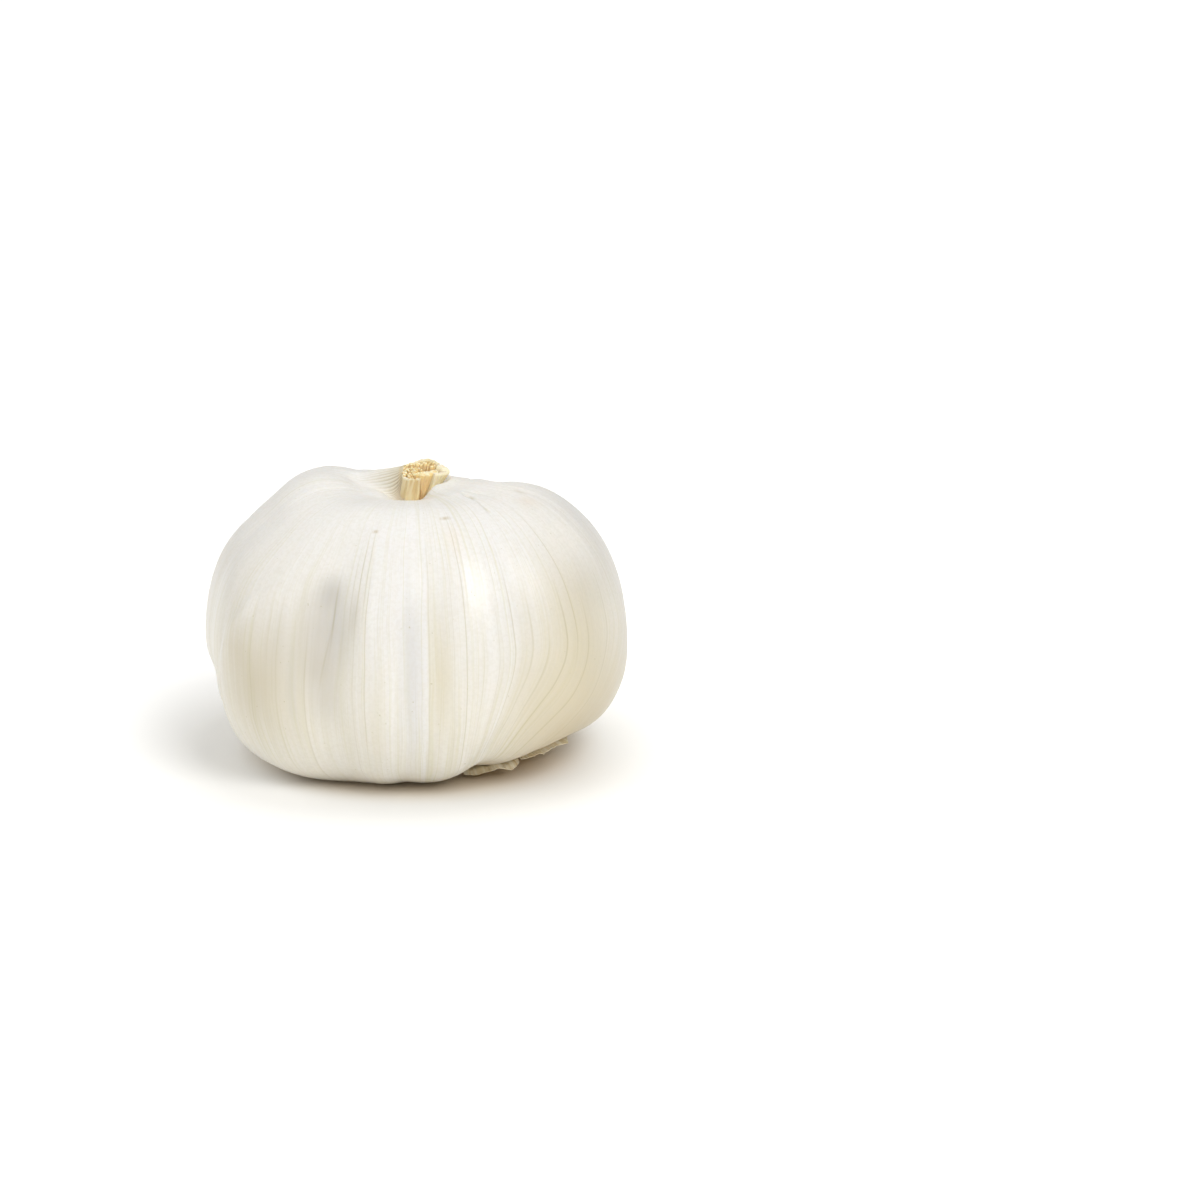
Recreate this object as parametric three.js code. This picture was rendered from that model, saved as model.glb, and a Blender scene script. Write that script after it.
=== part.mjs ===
// A bulb of garlic standing on a table, in millimetres, +Z up.
//
// The origin is on the table under the middle of the bulb's box. +X is the bulb's
// right side and -Y its front. Everything is shaped about the upright axis of the root
// plate, and then moved to the origin. Angles are in degrees round that axis, counted
// from +X towards +Y, so the front is at 270.
//
// The bulb is one solid: a ring of cloves pressed together under closed paper skins.
// Its cut neck is a fibrous core with the stumps of three leaf sheaths round it. A
// corky root plate fills the hollow underneath, and two torn ends of skin hang there.
import * as THREE from "three";

// Where the axis of the root plate stands, seen from above.
const AXIS = { x: -0.1, y: -0.46 };

// Section of the average bulb, from the axis underneath to the axis on top.
const BELLY_RADIUS = 30.4;
const BELLY_HEIGHT = 17.5;
const ROOT_HOLLOW_RADIUS = 11.2;
const ROOT_HOLLOW_ROOF = 2.6;
const SOCKET_RADIUS = 2.8;
const SOCKET_FLOOR = 35.6;

// The part of the section that shows, from the rim of the root hollow to the neck.
const OUTLINE = new THREE.SplineCurve([
  new THREE.Vector2(11.4, 1.3),
  new THREE.Vector2(14.5, 0),
  new THREE.Vector2(20, 0.5),
  new THREE.Vector2(26.4, 4.2),
  new THREE.Vector2(29.7, 10.6),
  new THREE.Vector2(BELLY_RADIUS, BELLY_HEIGHT),
  new THREE.Vector2(29.4, 25),
  new THREE.Vector2(26.4, 32),
  new THREE.Vector2(21.4, 37.4),
  new THREE.Vector2(16, 39.9),
  new THREE.Vector2(10.6, 40),
  new THREE.Vector2(6.8, 38.7),
  new THREE.Vector2(4.2, 37.5),
  new THREE.Vector2(3.2, 37.3),
]);
const OUTLINE_STEPS = 34;
const BULB_SIDES = 80;

// The cloves that bulge the skin. Each one reaches out to its own radius at the belly,
// raises or lowers the crown, lifts the underside clear of the table, and may slope its
// shoulder inwards.
const CLOVES = [
  { angle: 12, reach: 30.8, crown: -0.9, lift: 2, slope: 0 },
  { angle: 50, reach: 30, crown: -2.6, lift: 1, slope: 0.6 },
  { angle: 88, reach: 29.6, crown: -3.2, lift: 0, slope: 0.8 },
  { angle: 124, reach: 30.2, crown: -1.5, lift: 0, slope: 1.2 },
  { angle: 156, reach: 30.6, crown: 0.6, lift: 1.2, slope: 2.1 },
  { angle: 184, reach: 30.5, crown: 1, lift: 1.8, slope: 2.3 },
  { angle: 217, reach: 31.4, crown: -0.7, lift: 0, slope: 1.7 },
  { angle: 240, reach: 28.2, crown: -0.6, lift: 0, slope: 1 },
  { angle: 262, reach: 28.8, crown: -0.4, lift: 0, slope: 0.4 },
  { angle: 292, reach: 29.4, crown: -0.4, lift: 0.4, slope: 0 },
  { angle: 322, reach: 30.8, crown: -0.2, lift: 2.4, slope: 0 },
  { angle: 347, reach: 31, crown: 0, lift: 2.4, slope: 0 },
];
const CLOVE_CURVATURE = 16; // mm that a clove falls away per radian squared
const SKIN_TAUTNESS = 1.6; // per mm: how tightly the skin follows the grooves
const CLOVE_SPREAD = 9; // per radian squared: how far a clove's crown and lift reach
const SHOULDER_HEIGHT = 36.5;
const SHOULDER_DEPTH = 4.5;

// The cut neck widens upwards, mostly to the right, while its left side stays upright.
const NECK = { foot: 35.9, left: 0.1, lean: 0.25, wider: 0.75, deeper: 0.2, height: 6 };
const CORE = { radius: 0.75, depth: 0.6, back: 0.15, top: 41.8 };
const SHEATHS = [
  { name: "back_sheath", from: 38, to: 204, radius: 1.3, thickness: 0.7, top: 42.8 },
  { name: "front_sheath", from: 216, to: 282, radius: 1.4, thickness: 0.5, top: 40.6 },
  { name: "right_sheath", from: 294, to: 386, radius: 1.4, thickness: 0.5, top: 41.3 },
];
const ARC_STEPS = 10;
const NECK_STEPS = 4;

const ROOT_PLATE = { radius: 10.5, thickness: 2.2, wave: 0.17, waves: [5, 11], bevel: 0.5 };
const ROOT_PLATE_CORNERS = 54;

// Two torn ends of skin: thin plates that fan out from the rim of the root plate. Each
// corner gives how far along the plate it lies and how far to the side.
const FLAKE_THICKNESS = 0.3;
const FLAKES = [
  {
    name: "skin_flake_front",
    angle: 312,
    inner: 11.3,
    foot: 0.12,
    rise: 0.02,
    corners: [[0, -1.2], [2.8, -2], [5.6, -3.2], [6.8, -1], [7.4, 2.6], [3.4, 2.2], [0, 1.2]],
  },
  {
    name: "skin_flake_side",
    angle: 340,
    inner: 11.3,
    foot: 0.12,
    rise: 0.09,
    corners: [[0, -1.3], [3.6, -2.4], [6.4, -3.6], [8, -1.2], [10.4, 2], [6.4, 2.6], [0, 1.3]],
  },
];

const PAPER_SKIN = { color: 0xece8de, roughness: 0.45, metalness: 0 };
const DRY_STALK = { color: 0xdcc48e, roughness: 0.8, metalness: 0 };
const SHEATH_SKIN = { color: 0xe6d8b4, roughness: 0.7, metalness: 0 };
const CORKY_ROOT = { color: 0xb39467, roughness: 0.95, metalness: 0 };

const radians = THREE.MathUtils.degToRad;
const clamp = THREE.MathUtils.clamp;

/** The turn from one angle to another, in radians, between -PI and PI. */
function turnBetween(from, to) {
  return Math.atan2(Math.sin(to - from), Math.cos(to - from));
}

/** How far the skin reaches at the belly: the cloves' arcs, joined smoothly. */
function reachAt(phi) {
  let sum = 0;
  for (const clove of CLOVES) {
    const turn = turnBetween(radians(clove.angle), phi);
    const arc = clove.reach - CLOVE_CURVATURE * turn * turn;
    sum += Math.exp(SKIN_TAUTNESS * (arc - BELLY_RADIUS));
  }
  return BELLY_RADIUS + Math.log(sum) / SKIN_TAUTNESS;
}

/** A clove measure at an angle, as a smooth blend of the nearest cloves'. */
function cloveBlend(phi, measure) {
  let total = 0;
  let weights = 0;
  for (const clove of CLOVES) {
    const turn = turnBetween(radians(clove.angle), phi);
    const weight = Math.exp(-CLOVE_SPREAD * turn * turn);
    total += weight * clove[measure];
    weights += weight;
  }
  return total / weights;
}

/** Where a point of the average bulb lies once the cloves have pushed the skin out. */
function pushedByCloves(radius, height, phi) {
  const outwards = clamp((radius - 10) / (BELLY_RADIUS - 10), 0, 1);
  const eased = outwards * outwards * (3 - 2 * outwards);
  const grip = height < BELLY_HEIGHT ? Math.sqrt(eased) : eased;
  const shoulder = Math.exp(-(((height - SHOULDER_HEIGHT) / SHOULDER_DEPTH) ** 2));
  const slope = cloveBlend(phi, "slope") * shoulder * clamp((radius - 9) / 8, 0, 1);
  const low = clamp(1 - height / BELLY_HEIGHT, 0, 1) ** 1.5 * clamp((radius - 11) / 6, 0, 1);
  const high = clamp((height - BELLY_HEIGHT) / 20, 0, 1) ** 1.2 * clamp((radius - 4.4) / 8, 0, 1);
  const lifted = height + cloveBlend(phi, "lift") * low + cloveBlend(phi, "crown") * high;
  return {
    radius: radius * (1 + (reachAt(phi) / BELLY_RADIUS - 1) * grip) - slope,
    height: Math.max(lifted, 0),
  };
}

/** Moves each vertex of a Z-up geometry to the place that a function gives for it. */
function reshape(geometry, place) {
  const position = geometry.getAttribute("position");
  const vertex = new THREE.Vector3();
  for (let i = 0; i < position.count; i += 1) {
    place(vertex.fromBufferAttribute(position, i));
    position.setXYZ(i, vertex.x, vertex.y, vertex.z);
  }
  geometry.computeVertexNormals();
  return geometry;
}

/** The cloves in their skins: one closed solid, hollowed below for the root plate. */
function bulbGeometry() {
  const section = [
    new THREE.Vector2(0, ROOT_HOLLOW_ROOF),
    new THREE.Vector2(ROOT_HOLLOW_RADIUS, ROOT_HOLLOW_ROOF),
    ...OUTLINE.getPoints(OUTLINE_STEPS),
    new THREE.Vector2(SOCKET_RADIUS, SOCKET_FLOOR),
    new THREE.Vector2(0, SOCKET_FLOOR),
  ];
  const geometry = new THREE.LatheGeometry(section, BULB_SIDES);
  geometry.rotateX(Math.PI / 2);
  return reshape(geometry, (vertex) => {
    const radius = Math.hypot(vertex.x, vertex.y);
    if (radius <= ROOT_HOLLOW_RADIUS && vertex.z <= ROOT_HOLLOW_ROOF) return;
    if (radius <= SOCKET_RADIUS) return;
    const phi = Math.atan2(vertex.y, vertex.x);
    const pushed = pushedByCloves(radius, vertex.z, phi);
    vertex.set(pushed.radius * Math.cos(phi), pushed.radius * Math.sin(phi), pushed.height);
  });
}

/** One upright piece of the cut neck, made from its outline seen from above. */
function neckGeometry(outline, top) {
  const depth = top - NECK.foot;
  const geometry = new THREE.ExtrudeGeometry(outline, {
    depth,
    steps: NECK_STEPS,
    curveSegments: ARC_STEPS,
    bevelEnabled: false,
  });
  return reshape(geometry, (vertex) => {
    const rise = vertex.z / NECK.height;
    vertex.x *= 1 + NECK.wider * rise;
    vertex.y *= 1 + NECK.deeper * rise;
    vertex.x += NECK.left + NECK.lean * vertex.z;
    vertex.z += NECK.foot;
  });
}

/** The fibrous core of the neck, a little behind the neck's middle. */
function coreGeometry() {
  const outline = new THREE.Shape();
  outline.absellipse(0, CORE.back, CORE.radius, CORE.depth, 0, 2 * Math.PI);
  return neckGeometry(outline, CORE.top);
}

/** The stump of one leaf sheath: a curved band that stands beside the core. */
function sheathGeometry(sheath) {
  const from = radians(sheath.from);
  const to = radians(sheath.to);
  const band = new THREE.Shape();
  band.absarc(0, 0, sheath.radius + sheath.thickness, from, to, false);
  band.absarc(0, 0, sheath.radius, to, from, true);
  band.closePath();
  return neckGeometry(band, sheath.top);
}

/** The corky root plate, flat below, where it meets the table. */
function rootPlateGeometry() {
  const rim = new THREE.Shape();
  for (let i = 0; i < ROOT_PLATE_CORNERS; i += 1) {
    const phi = (2 * Math.PI * i) / ROOT_PLATE_CORNERS;
    let radius = ROOT_PLATE.radius - ROOT_PLATE.bevel;
    for (const count of ROOT_PLATE.waves) radius += ROOT_PLATE.wave * Math.sin(count * phi);
    const point = new THREE.Vector2(radius * Math.cos(phi), radius * Math.sin(phi));
    if (i === 0) rim.moveTo(point.x, point.y);
    else rim.lineTo(point.x, point.y);
  }
  rim.closePath();
  const geometry = new THREE.ExtrudeGeometry(rim, {
    depth: ROOT_PLATE.thickness - 2 * ROOT_PLATE.bevel,
    bevelThickness: ROOT_PLATE.bevel,
    bevelSize: ROOT_PLATE.bevel,
    bevelSegments: 1,
  });
  return geometry.translate(0, 0, ROOT_PLATE.bevel);
}

/** A torn end of skin: a thin plate that slopes up from the table as it leaves the root. */
function flakeGeometry(flake) {
  const torn = new THREE.Shape(flake.corners.map(([along, aside]) => new THREE.Vector2(along, aside)));
  const plate = new THREE.ExtrudeGeometry(torn, { depth: FLAKE_THICKNESS, bevelEnabled: false });
  reshape(plate, (vertex) => {
    vertex.z += flake.foot + flake.rise * vertex.x;
    vertex.x += flake.inner;
  });
  return plate.rotateZ(radians(flake.angle));
}

/** A mesh with its name and its own material. */
function named(name, geometry, finish) {
  const mesh = new THREE.Mesh(geometry, new THREE.MeshStandardMaterial(finish));
  mesh.name = name;
  return mesh;
}

const neck = new THREE.Group();
neck.add(named("stem_core", coreGeometry(), DRY_STALK));
for (const sheath of SHEATHS) {
  neck.add(named(sheath.name, sheathGeometry(sheath), SHEATH_SKIN));
}

const base = new THREE.Group();
base.add(named("root_plate", rootPlateGeometry(), CORKY_ROOT));
for (const flake of FLAKES) {
  base.add(named(flake.name, flakeGeometry(flake), PAPER_SKIN));
}

const garlicBulb = new THREE.Group();
garlicBulb.add(named("bulb", bulbGeometry(), PAPER_SKIN), neck, base);

garlicBulb.position.set(AXIS.x, AXIS.y, 0);

export default garlicBulb;
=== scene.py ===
"""A bulb of garlic standing on its root plate.

Everything is shaped in millimetres about the upright axis of the root plate and then
written to the meshes in metres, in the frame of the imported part: +X is the bulb's right
side, -Y its front and +Z up. A direction round the axis is counted from +X towards +Y,
so the front is at 270 degrees. A height on the skin is given as `along`, from 0 at the
rim of the root plate to 1 at the foot of the cut neck.
"""
import logging
import math
import random
from dataclasses import dataclass
from enum import Enum
from typing import Callable

import bpy
import numpy as np
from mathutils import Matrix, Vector, noise


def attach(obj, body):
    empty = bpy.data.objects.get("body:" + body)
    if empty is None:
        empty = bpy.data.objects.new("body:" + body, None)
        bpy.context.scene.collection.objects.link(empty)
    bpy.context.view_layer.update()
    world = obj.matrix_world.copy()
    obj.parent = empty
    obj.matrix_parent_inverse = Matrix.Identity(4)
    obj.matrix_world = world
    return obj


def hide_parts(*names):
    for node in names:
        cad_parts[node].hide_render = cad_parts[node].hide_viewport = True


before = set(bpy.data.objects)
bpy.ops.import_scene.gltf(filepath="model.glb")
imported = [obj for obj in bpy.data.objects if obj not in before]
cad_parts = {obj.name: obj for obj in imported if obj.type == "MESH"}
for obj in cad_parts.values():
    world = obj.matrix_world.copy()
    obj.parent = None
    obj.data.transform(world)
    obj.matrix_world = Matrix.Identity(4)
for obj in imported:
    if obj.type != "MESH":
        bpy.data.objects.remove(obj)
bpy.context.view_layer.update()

LOG = logging.getLogger("garlic")
MM = 0.001
TAU = 2 * math.pi
AXIS = (-0.1, -0.46)  # mm: where the axis of the root plate stands
BODY = "root"
SKIN_MAP = "skin"  # the UV map of the skin: round the bulb, then along
PLEATS = "pleats"  # how deep each point lies in a pleat, from 0 to 1
BACK = 90.0  # degrees: where that map is cut

Array = np.ndarray


class Slot(Enum):
    """The finishes of the part, as its record names them."""

    SKIN = "paper_skin"
    TORN = "torn_skin"
    SHEATH = "leaf_sheath"
    FIBRE = "stalk_fibre"
    ROOT = "corky_root"


# ---------------------------------------------------------------- shader nodes


class Field:
    """A value or colour that changes over a surface: one socket, with arithmetic."""

    def __init__(self, shader: "Shader", socket: bpy.types.NodeSocket) -> None:
        """Keeps the socket and the shader that its nodes belong to."""
        self.shader = shader
        self.socket = socket

    def _maths(self, operation: str, *values: object) -> "Field":
        """Adds one Math node.

        Args:
            operation: the Math node's operation.
            values: its operands, as fields or numbers.

        Returns:
            The node's result.
        """
        inputs = dict(enumerate(values))
        return self.shader.node("ShaderNodeMath", {"operation": operation}, inputs)

    def __add__(self, other: object) -> "Field":
        """The sum."""
        return self._maths("ADD", self, other)

    def __sub__(self, other: object) -> "Field":
        """The difference."""
        return self._maths("SUBTRACT", self, other)

    def __rsub__(self, other: object) -> "Field":
        """The difference, the other way round."""
        return self._maths("SUBTRACT", other, self)

    def __mul__(self, other: object) -> "Field":
        """The product."""
        return self._maths("MULTIPLY", self, other)

    def __pow__(self, other: object) -> "Field":
        """The power."""
        return self._maths("POWER", self, other)

    def __abs__(self) -> "Field":
        """The size, without its sign."""
        return self._maths("ABSOLUTE", self)

    __radd__ = __add__
    __rmul__ = __mul__

    def cos(self) -> "Field":
        """The cosine of an angle in radians."""
        return self._maths("COSINE", self)

    def sin(self) -> "Field":
        """The sine of an angle in radians."""
        return self._maths("SINE", self)

    def ease(self, low: float, high: float) -> "Field":
        """Turns this into a smooth rise.

        Args:
            low: where the rise is 0.
            high: where it is 1; it falls instead where this is the lower of the two.

        Returns:
            The rise, from 0 to 1.
        """
        inputs = {"Value": self, 1: low, 2: high, 3: 0.0, 4: 1.0}
        if low > high:
            inputs.update({1: high, 2: low, 3: 1.0, 4: 0.0})
        settings = {"interpolation_type": "SMOOTHSTEP"}
        return self.shader.node("ShaderNodeMapRange", settings, inputs)

    def near(self, centre: object, width: float) -> "Field":
        """1 where this equals `centre`, and 0 from `width` away."""
        return abs(self - centre).ease(width, 0.0)

    def within(self, low: float, high: float, soft: float) -> "Field":
        """1 between `low` and `high`, with edges that fade over `soft`."""
        return self.ease(low - soft, low + soft) * self.ease(high + soft, high - soft)


class Shader:
    """Builds the nodes of one material round a Principled shader."""

    def __init__(self, name: str) -> None:
        """Makes an empty material with that name."""
        self.material = bpy.data.materials.new(name)
        self.material.use_nodes = True
        self.tree = self.material.node_tree
        self.tree.nodes.clear()
        output = self.tree.nodes.new("ShaderNodeOutputMaterial")
        self.principled = self.tree.nodes.new("ShaderNodeBsdfPrincipled")
        self.tree.links.new(self.principled.outputs[0], output.inputs["Surface"])

    def put(self, target: bpy.types.NodeSocket, value: object) -> None:
        """Links a field to a socket, or sets the socket to a plain value."""
        if isinstance(value, Field):
            self.tree.links.new(value.socket, target)
        else:
            target.default_value = value

    def node(
        self,
        kind: str,
        settings: dict[str, object] | None = None,
        inputs: dict[object, object] | None = None,
        output: object = 0,
    ) -> Field:
        """Adds a node of any type.

        Args:
            kind: the node's type.
            settings: its properties, set before its sockets.
            inputs: the value or field of each socket, by name or number.
            output: the name or number of the output to use.

        Returns:
            That output.
        """
        node = self.tree.nodes.new(kind)
        for name, value in (settings or {}).items():
            setattr(node, name, value)
        for key, value in (inputs or {}).items():
            self.put(node.inputs[key], value)
        return Field(self, node.outputs[output])

    def vector(self, x: object, y: object, z: object) -> Field:
        """Joins three values to a vector."""
        return self.node("ShaderNodeCombineXYZ", None, {"X": x, "Y": y, "Z": z})

    def parts(self, vector: Field) -> tuple[Field, Field, Field]:
        """Splits a vector.

        Args:
            vector: the vector.

        Returns:
            Its three values.
        """
        split = self.node("ShaderNodeSeparateXYZ", None, {0: vector})
        outputs = split.socket.node.outputs
        return tuple(Field(self, outputs[i]) for i in range(3))

    def place(self) -> Field:
        """The place on the piece, in metres."""
        return self.node("ShaderNodeTexCoord", None, None, "Object")

    def map(self, name: str) -> tuple[Field, Field]:
        """The two values of a UV map."""
        across, up, _ = self.parts(self.node("ShaderNodeUVMap", {"uv_map": name}))
        return across, up

    def worn(self, name: str) -> Field:
        """A value that the mesh carries at each vertex."""
        return self.node("ShaderNodeAttribute", {"attribute_name": name}, None, "Fac")

    def noise(self, where: Field, scale: float, detail: float = 2.0) -> Field:
        """A noise between 0 and 1."""
        inputs = {"Vector": where, "Scale": scale, "Detail": detail}
        return self.node("ShaderNodeTexNoise", None, inputs)

    def blend(self, share: object, first: object, second: object) -> Field:
        """Mixes two colours.

        Args:
            share: how much of the second colour there is.
            first: a colour, or a field.
            second: a colour, or a field.

        Returns:
            The mixed colour.
        """
        inputs = {0: share}
        for key, colour in ((6, first), (7, second)):
            inputs[key] = colour if isinstance(colour, Field) else (*colour, 1)
        settings = {"data_type": "RGBA", "clamp_factor": True}
        return self.node("ShaderNodeMix", settings, inputs, 2)

    def bump(self, height: Field, depth: float, strength: float = 1.0) -> Field:
        """A normal from a height field that is `depth` mm deep."""
        inputs = {"Height": height, "Distance": depth * MM, "Strength": strength}
        return self.node("ShaderNodeBump", None, inputs)

    def finish(self, **sockets: object) -> bpy.types.Material:
        """Sets the Principled shader's sockets.

        Args:
            sockets: a value or field for each, the names with _ for a space.

        Returns:
            The finished material.
        """
        for name, value in sockets.items():
            if isinstance(value, tuple) and len(value) == 3 and "color" in name:
                value = (*value, 1)
            spaced = " ".join(word.capitalize() for word in name.split("_"))
            self.put(self.principled.inputs[spaced.replace("Ior", "IOR")], value)
        return self.material


def shade(red: int, green: int, blue: int) -> tuple[float, float, float]:
    """Turns a screen colour into the linear one that shaders take.

    Args:
        red: from 0 to 255.
        green: from 0 to 255.
        blue: from 0 to 255.

    Returns:
        The linear colour.
    """
    def linear(part: int) -> float:
        """One part of the colour."""
        share = part / 255
        return share / 12.92 if share <= 0.04045 else ((share + 0.055) / 1.055) ** 2.4

    return linear(red), linear(green), linear(blue)


# -------------------------------------------------------------------- finishes


@dataclass(frozen=True)
class Vein:
    """A darker line in the skin that runs from the root towards the neck."""

    angle: float  # degrees round the bulb, from 90 to 450
    start: float  # along
    end: float
    width: float  # degrees
    strength: float
    drift: float = 0.0  # degrees that it moves from start to end


@dataclass(frozen=True)
class SkinMark:
    """A soft patch of another tone in the skin: a stain, painted shade or a painted highlight."""

    angle: float  # degrees round the bulb, from 90 to 450
    along: float
    wide: float  # degrees from its middle to its edge
    tall: float  # along, from its middle to its edge
    strength: float
    colour: tuple[float, float, float]


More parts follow.
